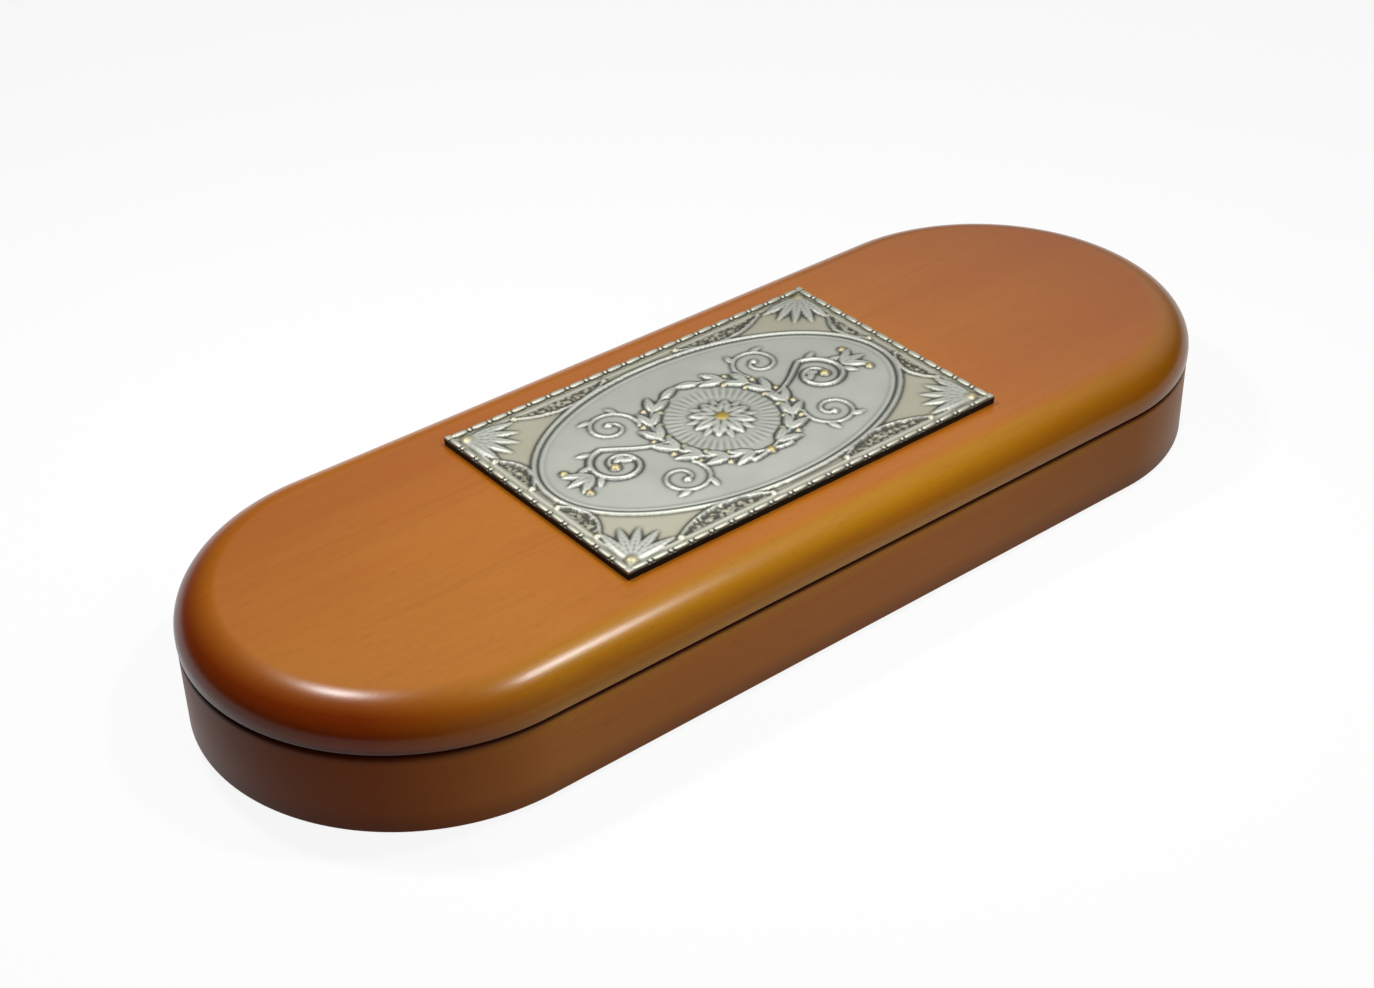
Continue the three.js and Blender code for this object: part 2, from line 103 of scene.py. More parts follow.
def pickVertices(piece, test):
    # in edit mode: only the vertices whose place passes the test are left selected
    bpy.ops.mesh.select_mode(type="VERT")
    bpy.ops.mesh.select_all(action="DESELECT")
    grid = bmesh.from_edit_mesh(piece.data)
    for vertex in grid.verts:
        vertex.select = bool(test(vertex.co))
    grid.select_flush(True)
    bmesh.update_edit_mesh(piece.data)


def tidyMesh(piece, smoothAngle=35):
    openMesh(piece)
    bpy.ops.mesh.remove_doubles(threshold=hair / 2)
    bpy.ops.mesh.normals_make_consistent(inside=False)
    closeMesh()
    bpy.ops.object.shade_smooth_by_angle(angle=math.radians(smoothAngle))


def useModifier(piece, kind, **settings):
    workOn(piece)
    bpy.ops.object.modifier_add(type=kind)
    modifier = piece.modifiers[-1]
    for name, value in settings.items():
        setattr(modifier, name, value)
    bpy.ops.object.modifier_apply(modifier=modifier.name)


def carve(piece, cutters, operation="DIFFERENCE"):
    for cutter in cutters:
        useModifier(piece, "BOOLEAN", object=cutter, operation=operation, solver="EXACT")
        bpy.data.objects.remove(cutter)


def copyOf(piece, name, shift=(0, 0, 0), flip=False):
    twin = piece.copy()
    twin.data = piece.data.copy()
    twin.name = name
    bpy.context.collection.objects.link(twin)
    if flip:
        twin.data.transform(Matrix.Rotation(math.pi, 4, "X"))
    return moved(twin, shift)


def give(piece, material):
    piece.data.materials.clear()
    piece.data.materials.append(material)


def settle(piece, body, slot, material, *nodes):
    give(piece, material)
    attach(piece, body)
    if nodes:
        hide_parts(*nodes)


def blockBetween(name, low, high):
    deselectAll()
    low, high = Vector(low), Vector(high)
    bpy.ops.mesh.primitive_cube_add(size=1, location=(low + high) / 2, scale=high - low)
    return applyPlace(newest(name))


alongX = (0, math.pi / 2, 0)
alongY = (math.pi / 2, 0, 0)


def rod(name, radius, middle, length, rotation=alongX, sides=48):
    deselectAll()
    bpy.ops.mesh.primitive_cylinder_add(
        vertices=sides, radius=radius, depth=length, location=middle, rotation=rotation
    )
    return applyPlace(newest(name))


# A body drawn up ring by ring from a filled circle, each ring a (radius, height) pair, then parted
# down its middle into two half-circle ends with a straight stretch between them
def drawUp(name, rings, parting=0.0, sides=180):
    deselectAll()
    radius, height = rings[0]
    bpy.ops.mesh.primitive_circle_add(
        vertices=sides, radius=radius, fill_type="NGON",
        location=(0, 0, height), rotation=(0, 0, math.pi / sides),
    )
    piece = applyPlace(newest(name))
    openMesh(piece)
    for nextRadius, nextHeight in rings[1:]:
        rise = (0, 0, nextHeight - height)
        bpy.ops.mesh.extrude_region_move(TRANSFORM_OT_translate={"value": rise})
        grow = nextRadius / radius
        bpy.ops.transform.resize(value=(grow, grow, 1), center_override=(0, 0, nextHeight))
        radius, height = nextRadius, nextHeight
    if parting:
        for side in (-1, 1):
            pickVertices(piece, lambda place: place.x * side > 0)
            bpy.ops.transform.translate(value=(side * parting, 0, 0))
    closeMesh()
    tidyMesh(piece)
    return piece


# Part of an ellipse as (radius, height) pairs, from angle a to angle b in degrees. It bulges outwards
# from its centre: 0 is straight out, 90 straight up
def bend(centreRadius, centreHeight, width, rise, a, b, steps):
    angles = [math.radians(a + (b - a) * i / steps) for i in range(steps + 1)]
    return [(centreRadius + width * math.cos(t), centreHeight + rise * math.sin(t)) for t in angles]


# What the frame says about the box
lidLow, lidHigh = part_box("lid_shell")
trayLow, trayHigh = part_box("tray_shell")
restLow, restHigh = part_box("pen_rest")
feltLow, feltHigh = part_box("base_felt")
liningLow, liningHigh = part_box("lid_lining")
backingLow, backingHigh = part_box("plaque_backing")
pivot = Vector(frame["joints"][0]["pos_m"])
lidRadius = max(lidHigh.y, -lidLow.y)
parting = lidHigh.x - lidRadius


# Materials. A look's patterns are noises: the size of their spots along X, Y and Z in mm, how many finer
# layers they have, and how rough these are. Its stains lie one over another, each a colour and its
# limits: what it follows, where it starts, where it is full, its share there, and its share at the start
# where that isn't 0. Its roughness is one more such limit, and its bump is the pattern it follows, its
# strength and its depth in mm

def emptyTree(owner):
    owner.use_nodes = True
    owner.node_tree.nodes.clear()
    return owner.node_tree


def addNode(tree, kind, inputs=None, **settings):
    # inputs: a value, or an output socket to link
    node = tree.nodes.new("ShaderNode" + kind)
    for name, value in settings.items():
        setattr(node, name, value)
    for name, value in (inputs or {}).items():
        if isinstance(value, bpy.types.NodeSocket):
            tree.links.new(value, node.inputs[name])
        else:
            node.inputs[name].default_value = value
    return node


def shareWithin(tree, fields, limits):
    # the product of what each limit gives
    share = None
    for field, (start, full, shareThere, *shareAtStart) in limits:
        ramp = {"Value": fields[field], "From Min": start, "From Max": full, "To Max": shareThere}
        ramp["To Min"] = shareAtStart[0] if shareAtStart else 0
        part = addNode(tree, "MapRange", ramp).outputs[0]
        both = {0: share, 1: part}
        share = addNode(tree, "Math", both, operation="MULTIPLY").outputs[0] if share else part
    return share


def boxFields(tree, place, face, side):
    # where a point of the wood is, in mm: x and y from the box's middle, its depth from the face at the
    # joint, and its inset from the lid's outline, which is a line drawn out all round by a radius
    inMm = addNode(tree, "VectorMath", {0: place, "Scale": 1 / mm}, operation="SCALE").outputs[0]
    x, y, z = addNode(tree, "SeparateXYZ", {0: inMm}).outputs
    fromFace = {0: z, 1: side, 2: -side * face / mm}
    depth = addNode(tree, "Math", fromFace, operation="MULTIPLY_ADD").outputs[0]
    fromLine = inMm
    halfLine = (parting / mm, 0, 0)
    steps = {"ABSOLUTE": (0, 0, 0), "SUBTRACT": halfLine, "MAXIMUM": (0, 0, 0), "MULTIPLY": (1, 1, 0)}
    for operation, other in steps.items():
        fromLine = addNode(tree, "VectorMath", {0: fromLine, 1: other}, operation=operation).outputs[0]
    reach = addNode(tree, "VectorMath", {0: fromLine}, operation="LENGTH").outputs["Value"]
    inset = addNode(tree, "Math", {0: lidRadius / mm, 1: reach}, operation="SUBTRACT").outputs[0]
    return {"everywhere": 1, "x": x, "y": y, "depth": depth, "inset": inset}


def makeMaterial(name, look):
    material = bpy.data.materials.new(name)
    tree = emptyTree(material)
    place = addNode(tree, "TexCoord").outputs["Object"]
    fields = boxFields(tree, place, *look["joint"]) if "joint" in look else {}
    for field in look.get("attributes", ()):
        fields[field] = addNode(tree, "Attribute", attribute_name=field).outputs["Fac"]
    for field, (spots, detail, roughness) in look["patterns"].items():
        perMetre = [1 / (size * mm) for size in spots]
        where = addNode(tree, "Mapping", {"Vector": place, "Scale": perMetre}).outputs[0]
        noise = {"Vector": where, "Scale": 1, "Detail": detail, "Roughness": roughness}
        fields[field] = addNode(tree, "TexNoise", noise).outputs["Fac"]
    colour = rawColour(look["colour"])
    for hexColour, *limits in look["stains"]:
        layers = {0: shareWithin(tree, fields, limits), 6: colour, 7: rawColour(hexColour)}
        colour = addNode(tree, "Mix", layers, data_type="RGBA").outputs[2]
    values = {"Base Color": colour, **look["values"]}
    if "roughness" in look:
        values["Roughness"] = shareWithin(tree, fields, [look["roughness"]])
    if "bump" in look:
        field, strength, depth = look["bump"]
        relief = {"Height": fields[field], "Strength": strength, "Distance": depth * mm}
        values["Normal"] = addNode(tree, "Bump", relief).outputs[0]
    surface = addNode(tree, "BsdfPrincipled", values)
    addNode(tree, "OutputMaterial", {0: surface.outputs[0]})
    return material


# beech, sanded, stained cherry and sprayed with satin lacquer: an even orange brown with short darker
# ray flecks along the grain, and soft clear highlights on the rounded edge
beechLook = {
    "colour": "#AD6615",
    "patterns": {
        "patches": ((55, 55, 55), 2, 0.5),
        "bands": ((150, 9, 9), 3, 0.5),
        "rings": ((480, 11, 11), 1, 0.5),
        "streaks": ((14, 1.1, 1.1), 3, 0.5),
        "flecks": ((1.8, 0.36, 0.36), 1, 0.5),
    },
    "bump": ("flecks", 0.12, 0.05),
}
grainStains = [
    ("#A65D17", ("patches", (0.35, 0.65, 1))),
    ("#B57120", ("bands", (0.4, 0.75, 0.5))),
    # growth rings, cut nearly along them: long thin lines where a slow noise crosses its middle
    ("#88440A", ("rings", (0.492, 0.499, 0.2)), ("rings", (0.508, 0.501, 1))),
]
poreStains = [
    ("#88440A", ("streaks", (0.5, 0.85, 0.2))),
    ("#88440A", ("flecks", (0.58, 0.85, 0.36))),
]
leftEnd = ("x", (-60, -88, 1))
rightEnd = ("x", (12, 92, 0.85))
# painted shade over the right half of the box
rightHalfPaintedShade = ("#8A4711", ("x", (30, 95, 0.6)))
# painted shade along the two edges at the joint, deeper at the left end, where the groove lies in shade
cornerOnly = ("inset", (1.5, 1, 1))
jointPaintedShade = [
    ("#401504", ("depth", (0.5, 0.15, 1)), cornerOnly),
    ("#401504", ("depth", (1.5, 0.5, 0.8)), cornerOnly, leftEnd),
]
flatTop = ("inset", (5, 7.5, 1))
roundedEdge = ("inset", (7, 2.1, 1))
outerSkin = ("depth", (0, 0.4, 1))  # the face at the joint keeps the plain stain
lidLook = {
    **beechLook,
    "joint": (lidLow.z, 1),
    "stains": [
        *grainStains,
        # painted shade along the flat top's back, most of it on the left, painted light at the front on the
        # left, and a little painted shade on its right
        ("#954B09", ("y", (2, 27, 1)), flatTop, ("x", (50, -50, 0.6, 0.12))),
        ("#B57120", ("y", (0, -20, 0.5)), ("x", (-40, -55, 1)), flatTop),
        ("#8A4711", ("x", (20, 48, 0.17)), flatTop),
        # the rounded edge, yellower towards the front: partly a stain across the grain, partly painted
        # light of the lit round
        ("#AC7411", ("y", (22, -8, 1)), ("x", (-88, -60, 1)), outerSkin, ("inset", (7.1, 4.9, 1))),
        # painted shade low down on the rounded edge
        ("#9D6103", ("depth", (5.8, 4.2, 1)), ("depth", (0.9, 1.9, 1))),
        rightHalfPaintedShade,
        # darker ends: partly deeper stain in the end grain, partly painted shade
        ("#7A2C03", leftEnd, outerSkin, roundedEdge),
        ("#7E4A02", rightEnd, outerSkin, roundedEdge),
        *poreStains,
        *jointPaintedShade,
    ],
    # polished
    "values": {"Roughness": 0.255, "IOR": 1.5, "Specular IOR Level": 0.25},
}
traySides = ("inset", (1.6, 0.8, 1))
trayLook = {
    **beechLook,
    "joint": (trayHigh.z, -1),
    "stains": [
        *grainStains,
        # yellower along the rim's round: partly a stain across the grain, partly painted light of the lit
        # round
        ("#AC7411", ("depth", (2.6, 0.8, 0.6)), traySides),
        ("#A06C46", ("everywhere", (0, 1, 0.3))),
        rightHalfPaintedShade,
        # darker ends: partly deeper stain in the end grain, partly painted shade
        ("#7C3A0A", leftEnd, traySides),
        ("#7E4A02", rightEnd, traySides),
        *poreStains,
        # painted shade: the foot is a little darker towards the floor
        ("#401504", ("depth", (10.2, 13.7, 0.45))),
        *jointPaintedShade,
    ],
    # left satin
    "values": {"Roughness": 0.42, "IOR": 1.5, "Specular IOR Level": 0.13},
}
# silver sheet pressed over a die, blackened, then wiped bright on its high parts: pale warm grey with
# dark hollows, a satin shine, and a touch of gilding here and there
silverLook = {
    "colour": "#C4C6BC",
    "attributes": ("patinaAndPaintedShadow", "gilt"),
    "patterns": {"clouds": ((9, 9, 9), 3, 0.5), "grit": ((0.25, 0.25, 0.25), 2, 0.5)},
    "stains": [
        ("#BABCB2", ("clouds", (0.3, 0.7, 1))),
        ("#B09A4C", ("gilt", (0, 1, 1))),
        # patina in the hollows, and painted shadow along the sheet's edges and the moulding's outer foot
        ("#171C20", ("patinaAndPaintedShadow", (0, 1, 0.93))),
    ],
    "values": {"Metallic": 1},
    "roughness": ("patinaAndPaintedShadow", (0, 1, 0.62, 0.54)),
    "bump": ("grit", 0.1, 0.02),
}
# thin fibre board, cut and painted black: a dull, slightly uneven black with rubbed spots
boardLook = {
    "colour": "#100B07",
    "patterns": {"spots": ((1.2, 1.2, 1.2), 3, 0.5), "fibres": ((0.4, 0.4, 0.4), 2, 0.5)},
    "stains": [("#2A2018", ("spots", (0.55, 0.8, 1)))],
    "values": {"Roughness": 0.5, "Specular IOR Level": 0.25},
    "bump": ("fibres", 0.3, 0.05),
}
# black felt, pressed from short wool: matt, with a faint grey bloom of loose fibres
feltLook = {
    "colour": "#141414",
    "patterns": {"fibres": ((0.5, 0.5, 0.5), 4, 0.7)},
    "stains": [("#2C2C2D", ("fibres", (0.35, 0.75, 1)))],
    "values": {"Roughness": 0.95, "Specular IOR Level": 0.1, "Sheen Weight": 0.15},
    "bump": ("fibres", 0.8, 0.15),
}
# midnight blue nylon flock on a moulded plastic rest: matt velvet, paler where it is seen edgeways
flockLook = {
    "colour": "#131B3C",
    "patterns": {"brushed": ((14, 14, 14), 2, 0.5), "nap": ((0.3, 0.3, 0.3), 3, 0.7)},
    "stains": [("#1B2550", ("brushed", (0.35, 0.65, 1)))],
    "values": {
        "Roughness": 0.9,
        "Specular IOR Level": 0.1,
        "Sheen Weight": 0.5,
        "Sheen Roughness": 0.4,
        "Sheen Tint": rawColour("#6C7FC0"),
    },
    "bump": ("nap", 0.6, 0.12),
}
# dark blue acetate satin over thin wadding: fine threads along it and a soft shine. Real threads are
# 0.1 mm thick, too fine to be seen here, so they are drawn three times as coarse
satinLook = {
    "colour": "#1A2448",
    "patterns": {"clouds": ((20, 20, 20), 2, 0.5), "threads": ((9, 0.3, 0.3), 2, 0.5)},
    "stains": [("#222E5A", ("clouds", (0.35, 0.65, 1))), ("#0F1630", ("threads", (0.4, 0.75, 0.4)))],
    "values": {"Roughness": 0.38, "Sheen Weight": 0.2},
    "bump": ("threads", 0.2, 0.03),
}
# brass strip, stamped and tumbled: warm yellow with fine scratches and a brown bloom
brassLook = {
    "colour": "#C9A24E",
    "patterns": {"bloom": ((7, 7, 7), 3, 0.5), "scratches": ((2, 0.15, 0.15), 2, 0.5)},
    "stains": [("#B18A3F", ("bloom", (0.35, 0.75, 1)))],
    "values": {"Metallic": 1},
    "roughness": ("scratches", (0.3, 0.7, 0.4, 0.25)),
    "bump": ("scratches", 0.08, 0.02),
}
# bright nickel plate on sintered magnets: cool grey mirror, faintly clouded
nickelLook = {
    "colour": "#C3C4C4",
    "patterns": {"clouds": ((3, 3, 3), 3, 0.5)},
    "stains": [("#B4B5B6", ("clouds", (0.4, 0.7, 1)))],
    "values": {"Metallic": 1},
    "roughness": ("clouds", (0.3, 0.7, 0.22, 0.15)),
}


# The lid and the tray

hingeShape = {
    "centres": (-46 * mm, 46 * mm),
    "length": 24 * mm,
    "knuckles": 5,
    "knuckleRadius": 1.3 * mm,
    "knuckleGap": 0.12 * mm,
    "leafThickness": 0.8 * mm,
    "leafWidth": 5.8 * mm,
    "pinRadius": 0.5 * mm,
    "pinClearance": 0.1 * mm,
    "pinHeadRadius": 0.8 * mm,
    "pinHeadHeight": 0.35 * mm,
    "pinHeadDegrees": 66,  # how far up the head is domed, before its flat end
    "pinHeadFlat": 0.4,
    "mortiseClearance": 0.15 * mm,
    "channelClearance": 0.25 * mm,
    "stopDegrees": 49,
    "screwOffsets": (-6.5 * mm, 6.5 * mm),
    "edgeRound": 0.08 * mm,
    "edgeDegrees": 50,
}
screwShape = {
    "length": 4.6 * mm,
    "headRadius": 1.2 * mm,
    "headFlat": 0.8,
    "headRim": 0.03 * mm,
    "shankRadius": 0.6 * mm,
    "tipRadius": 0.12 * mm,
    "tipLength": 1.3 * mm,
    "slotWidth": 0.3 * mm,
    "slotDepth": 0.25 * mm,
    "clearance": 0.1 * mm,
    "threadPitch": 0.7 * mm,
    "threadDepth": 0.14 * mm,
    "threadSteps": 40,
    "neck": 0.2 * mm,
    "plainNeck": 0.3 * mm,
    "plainTip": 0.25 * mm,
}
magnetShape = {
    "places": (-45 * mm, 45 * mm),
    "radius": 2.5 * mm,
    "thickness": 2 * mm,
    "edge": 0.25 * mm,
    "proud": 0.15 * mm,
    "clearance": 0.1 * mm,
}
lidShape = {
    "wall": 9 * mm,
    "roof": 4 * mm,
    "roundWidth": 7 * mm,
    "roundHeight": 5.8 * mm,
    "roundSteps": 22,
    "crease": 80,  # degrees up the round where it meets the flat top
    "edge": 0.5 * mm,
    "support": 0.4 * mm,
}
trayShape = {
    "inset": 0.1 * mm,
    "wall": 9 * mm,
    "floor": 2.8 * mm,
    "foot": 0.35 * mm,
    "rim": 0.9 * mm,
    "support": 0.4 * mm,
}
glueLine = 0.05 * mm
overrun = 2 * mm
jointGap = lidLow.z - trayHigh.z
leafFlatFrom = hingeShape["knuckleRadius"] + hingeShape["channelClearance"]
screwY = pivot.y - (leafFlatFrom + hingeShape["leafWidth"]) / 2
magnetY = -(lidRadius - trayShape["wall"] / 2)


def cutForFittings(shell, side):
    # side -1 is the tray's rim, cut downwards, and 1 the lid's
    hingeSize, screw, magnet = hingeShape, screwShape, magnetShape
    face = pivot.z + side * jointGap / 2

    def levels(depth):
        return sorted((face - side * overrun, face + side * depth))

    # a wedge behind the pins: its faces are the chamfers that stop the open lid
    reach = lidRadius - pivot.y + overrun
    rise = reach * math.tan(math.radians(hingeSize["stopDegrees"]))
    wedge = blockBetween(
        "wedge", (-lidHigh.x, pivot.y, pivot.z - rise), (lidHigh.x, pivot.y + reach, pivot.z + rise)
    )
    openMesh(wedge)
    pickVertices(wedge, lambda place: place.y < pivot.y + reach / 2)
    bpy.ops.transform.resize(value=(1, 1, 0), center_override=pivot)
    closeMesh()
    tidyMesh(wedge)
    cutters = [wedge]
    for centre in hingeSize["centres"]:
        half = hingeSize["length"] / 2 + hingeSize["mortiseClearance"]
        low, high = levels(hingeSize["leafThickness"] + glueLine)
        near = pivot.y - hingeSize["leafWidth"] - hingeSize["mortiseClearance"]
        cutters.append(blockBetween("mortise", (centre - half, near, low), (centre + half, pivot.y, high)))
        channelLength = 2 * (half + hingeSize["pinHeadHeight"])
        cutters.append(rod("channel", leafFlatFrom, (centre, pivot.y, pivot.z), channelLength))
        for offset in hingeSize["screwOffsets"]:
            radius = screw["shankRadius"] + screw["clearance"]
            rings = [(radius, level) for level in levels(screw["length"] + screw["clearance"])]
            cutters.append(moved(drawUp("pilot", rings, sides=24), (centre + offset, screwY, 0)))
    for x in magnet["places"]:
        radius = magnet["radius"] + magnet["clearance"]
        rings = [(radius, level) for level in levels(magnet["thickness"] - magnet["proud"] + glueLine)]
        cutters.append(moved(drawUp("pocket", rings, sides=48), (x, magnetY, 0)))
    carve(shell, cutters)
    tidyMesh(shell)


def makeLid(wood):
    shape = lidShape
    inner = lidRadius - shape["wall"]
    ceiling = lidHigh.z - shape["roof"]
    edge, support = shape["edge"], shape["support"]
    # the round ends at the crease, so its full height is a little more than it rises
    rise = shape["roundHeight"] / math.sin(math.radians(shape["crease"]))
    width = shape["roundWidth"] / (1 - math.cos(math.radians(shape["crease"])))
    foot = lidHigh.z - shape["roundHeight"]
    rings = [(inner - support, ceiling), (inner, ceiling), (inner, lidLow.z + support), (inner, lidLow.z)]
    rings += [(inner + support, lidLow.z)]
    rings += bend(lidRadius - edge, lidLow.z + edge, edge, edge, -90, 0, steps=6)
    rings += bend(lidRadius - width, foot, width, rise, 0, shape["crease"], steps=shape["roundSteps"])
    rings += [(rings[-1][0] - support, lidHigh.z)]
    lid = drawUp("lidWood", rings, parting)
    cutForFittings(lid, 1)
    settle(lid, "lid", "stained_beech", wood, "lid_shell")


def makeTray(wood):
    shape = trayShape
    inner = lidRadius - shape["wall"]
    outer = lidRadius - shape["inset"]
    foot, rim, support = shape["foot"], shape["rim"], shape["support"]
    rings = [(outer - foot - support, trayLow.z)]
    rings += bend(outer - foot, trayLow.z + foot, foot, foot, -90, 0, steps=6)
    rings += bend(outer - rim, trayHigh.z - rim, rim, rim, 0, 90, steps=6)
    rings += [(inner + support, trayHigh.z), (inner, trayHigh.z), (inner, trayLow.z + shape["floor"])]
    rings += [(inner - support, trayLow.z + shape["floor"])]
    tray = drawUp("trayWood", rings, parting)
    cutForFittings(tray, -1)
    settle(tray, "base", "stained_beech", wood, "tray_shell")


makeLid(makeMaterial("stainedBeechLid", lidLook))
makeTray(makeMaterial("stainedBeechTray", trayLook))
print("lid and tray made")


# The linings

restShape = {
    "edge": 0.8 * mm,
    "penLength": 146 * mm,
    "grooveRadius": 6.3 * mm,
    "grooveY": 11 * mm,
    "scoopRadius": 15 * mm,
    "scoopDepth": 5.6 * mm,
    "scoopLength": 44 * mm,
    "voxel": 0.7 * mm,
}


def makePenRest(flock):
    # a moulded rest under flock: two pen grooves, and one scoop across both for the fingers
    shape = restShape
    radius = restHigh.y
    edge = shape["edge"]
    rings = [(radius, restLow.z)]
    rings += bend(radius - edge, restHigh.z - edge, edge, edge, 0, 90, steps=4)
    rest = drawUp("penRestFlocked", rings, restHigh.x - radius, sides=96)
    cutters = []
    for y in (-shape["grooveY"], shape["grooveY"]):
        deselectAll()
        bpy.ops.mesh.primitive_uv_sphere_add(
            segments=48, ring_count=24, radius=shape["grooveRadius"], rotation=alongX
        )
        groove = applyPlace(newest("groove"))
        openMesh(groove)
        for side in (-1, 1):
            pickVertices(groove, lambda place: place.x * side > hair)
            stretch = shape["penLength"] / 2 - shape["grooveRadius"]
            bpy.ops.transform.translate(value=(side * stretch, 0, 0))
        closeMesh()
        cutters.append(moved(groove, (0, y, restHigh.z)))
    middle = (0, 0, restHigh.z + shape["scoopRadius"] - shape["scoopDepth"])
    scoop = rod("scoop", shape["scoopRadius"], middle, shape["scoopLength"], alongY, sides=96)
    carve(rest, cutters + [scoop])
    useModifier(rest, "REMESH", mode="VOXEL", voxel_size=shape["voxel"])
    useModifier(rest, "SMOOTH", factor=0.5, iterations=4)
    tidyMesh(rest, smoothAngle=80)
    settle(rest, "base", "blue_flock", flock, "pen_rest")


liningShape = {
    "softEdge": 0.3 * mm,
    "steps": 14,
    "crown": 0.9 * mm,
    "fullness": 3,  # the more, the sooner it is full
    "flatten": 0.8,
    "reach": 0.72,  # its last ring's distance from its edge, as a share of its radius
    "crowding": 1.6,  # over 1, the rings lie closer near the edge
    "puckers": 0.09 * mm,
    "puckerPitch": 5.5 * mm,
    "puckerReach": 3 * mm,
    "fill": 0.5,
}


def makeLining(cloth):
    # satin drawn over a thin wadding and glued in the lid: it swells towards the box, with small
    # puckers round its turned edge
    shape = liningShape
    radius = liningHigh.y
    thick = liningHigh.z - liningLow.z
    soft = shape["softEdge"]
    rings = [(radius - soft, liningHigh.z)]
    rings += bend(radius - soft, liningHigh.z - soft, soft, soft, 90, 0, steps=3)
    for i in range(1, shape["steps"] + 1):
        share = i / shape["steps"]
        swell = math.sqrt(1 - (1 - share) ** shape["fullness"])
        sag = (thick - soft) * swell + shape["crown"] * math.sin(share * math.pi / 2)
        inwards = shape["reach"] * radius * share ** shape["crowding"]
        rings.append((radius - inwards, liningHigh.z - soft - sag * shape["flatten"]))
    pad = drawUp("lidLiningPad", rings, liningHigh.x - radius, sides=240)
    straight = liningHigh.x - radius
    for vertex in pad.data.vertices:
        x, y, z = vertex.co
        beyond = max(abs(x) - straight, 0)
        out = math.hypot(beyond, y)
        turn = math.atan2(y, beyond * (1 if x > 0 else -1)) if out else 0
        around = radius * turn + min(max(x, -straight), straight)
        near = math.exp(-(((out - radius) / shape["puckerReach"]) ** 2))
        if z < liningHigh.z - soft:
            vertex.co.z += shape["puckers"] * near * math.sin(2 * math.pi * around / shape["puckerPitch"])
    tidyMesh(pad, smoothAngle=60)
    settle(pad, "lid", "satin_lining", cloth, "lid_lining")


feltShape = {"softEdge": 0.2 * mm, "support": 0.8 * mm}


def makeFeltPad(felt):
    # felt cut to the box's outline and glued under it
    soft, support = feltShape["softEdge"], feltShape["support"]
    radius = feltHigh.y
    straight = feltHigh.x - radius
    rings = [(radius - support, feltLow.z)]
    rings += bend(radius - soft, feltLow.z + soft, soft, soft, -90, 0, steps=3)
    rings += bend(radius - soft, feltHigh.z - soft, soft, soft, 0, 90, steps=3)
    rings += [(radius - support, feltHigh.z)]
    pad = drawUp("baseFeltSheet", rings, straight)
    settle(pad, "base", "black_felt", felt, "base_felt")


makePenRest(makeMaterial("blueNylonFlock", flockLook))
makeLining(makeMaterial("blueAcetateSatin", satinLook))
makeFeltPad(makeMaterial("blackWoolFelt", feltLook))
print("linings made")


# The hinges, with their pins and screws, and the magnets

def makeLeaf(side):
    # one leaf at the middle of the box, its axis along X through the origin
    shape = hingeShape
    half = shape["length"] / 2
    near = side * jointGap / 2
    low, high = sorted((near, near + side * shape["leafThickness"]))
    leaf = blockBetween("leaf", (-half, -shape["leafWidth"], low), (half, -leafFlatFrom, high))
    pitch = shape["length"] / shape["knuckles"]
    bore = shape["pinRadius"] + shape["pinClearance"]
    for i in range(0 if side < 0 else 1, shape["knuckles"], 2):
        start = -half + i * pitch + (shape["knuckleGap"] / 2 if i > 0 else 0)
        end = -half + (i + 1) * pitch - (shape["knuckleGap"] / 2 if i + 1 < shape["knuckles"] else 0)
        tab = blockBetween(
            "tab", (start, -leafFlatFrom - shape["leafThickness"], low),
            (end, -(shape["knuckleRadius"] + bore) / 2, high),
        )
        barrel = rod("barrel", shape["knuckleRadius"], ((start + end) / 2, 0, 0), end - start)
        carve(leaf, [tab, barrel], "UNION")
    cutters = [rod("bore", bore, (0, 0, 0), shape["length"] + overrun, sides=32)]
    screw = screwShape
    wide = screw["headRadius"] + screw["clearance"]
    narrow = screw["shankRadius"] + screw["clearance"]
    for offset in shape["screwOffsets"]:
        rings = [(wide, -overrun), (wide, 0), (narrow, wide - narrow), (narrow, overrun)]
        sink = drawUp("sink", rings, sides=48)
        if side < 0:
            sink.data.transform(Matrix.Rotation(math.pi, 4, "X"))
        cutters.append(moved(sink, (offset, screwY - pivot.y, near)))
    carve(leaf, cutters)
    tidyMesh(leaf)
    useModifier(
        leaf, "BEVEL", width=shape["edgeRound"], segments=2,
        limit_method="ANGLE", angle_limit=math.radians(shape["edgeDegrees"]),
    )
    tidyMesh(leaf, smoothAngle=40)
    return leaf


def makePin():
    shape = hingeShape
    half = shape["length"] / 2 + shape["knuckleGap"] / 2
    head, dome = shape["pinHeadHeight"], shape["pinHeadDegrees"]
    thin, wide = shape["pinRadius"], shape["pinHeadRadius"]
    flat = wide * shape["pinHeadFlat"]
    rings = [(flat, -half - head)] + bend(0, -half, wide, head, -dome, 0, steps=4) + [(thin, -half)]
    rings += [(thin, half)] + bend(0, half, wide, head, 0, dome, steps=4) + [(flat, half + head)]
    pin = drawUp("pin", rings, sides=32)
    pin.data.transform(Matrix.Rotation(math.pi / 2, 4, "Y"))
    tidyMesh(pin, smoothAngle=40)
    return pin


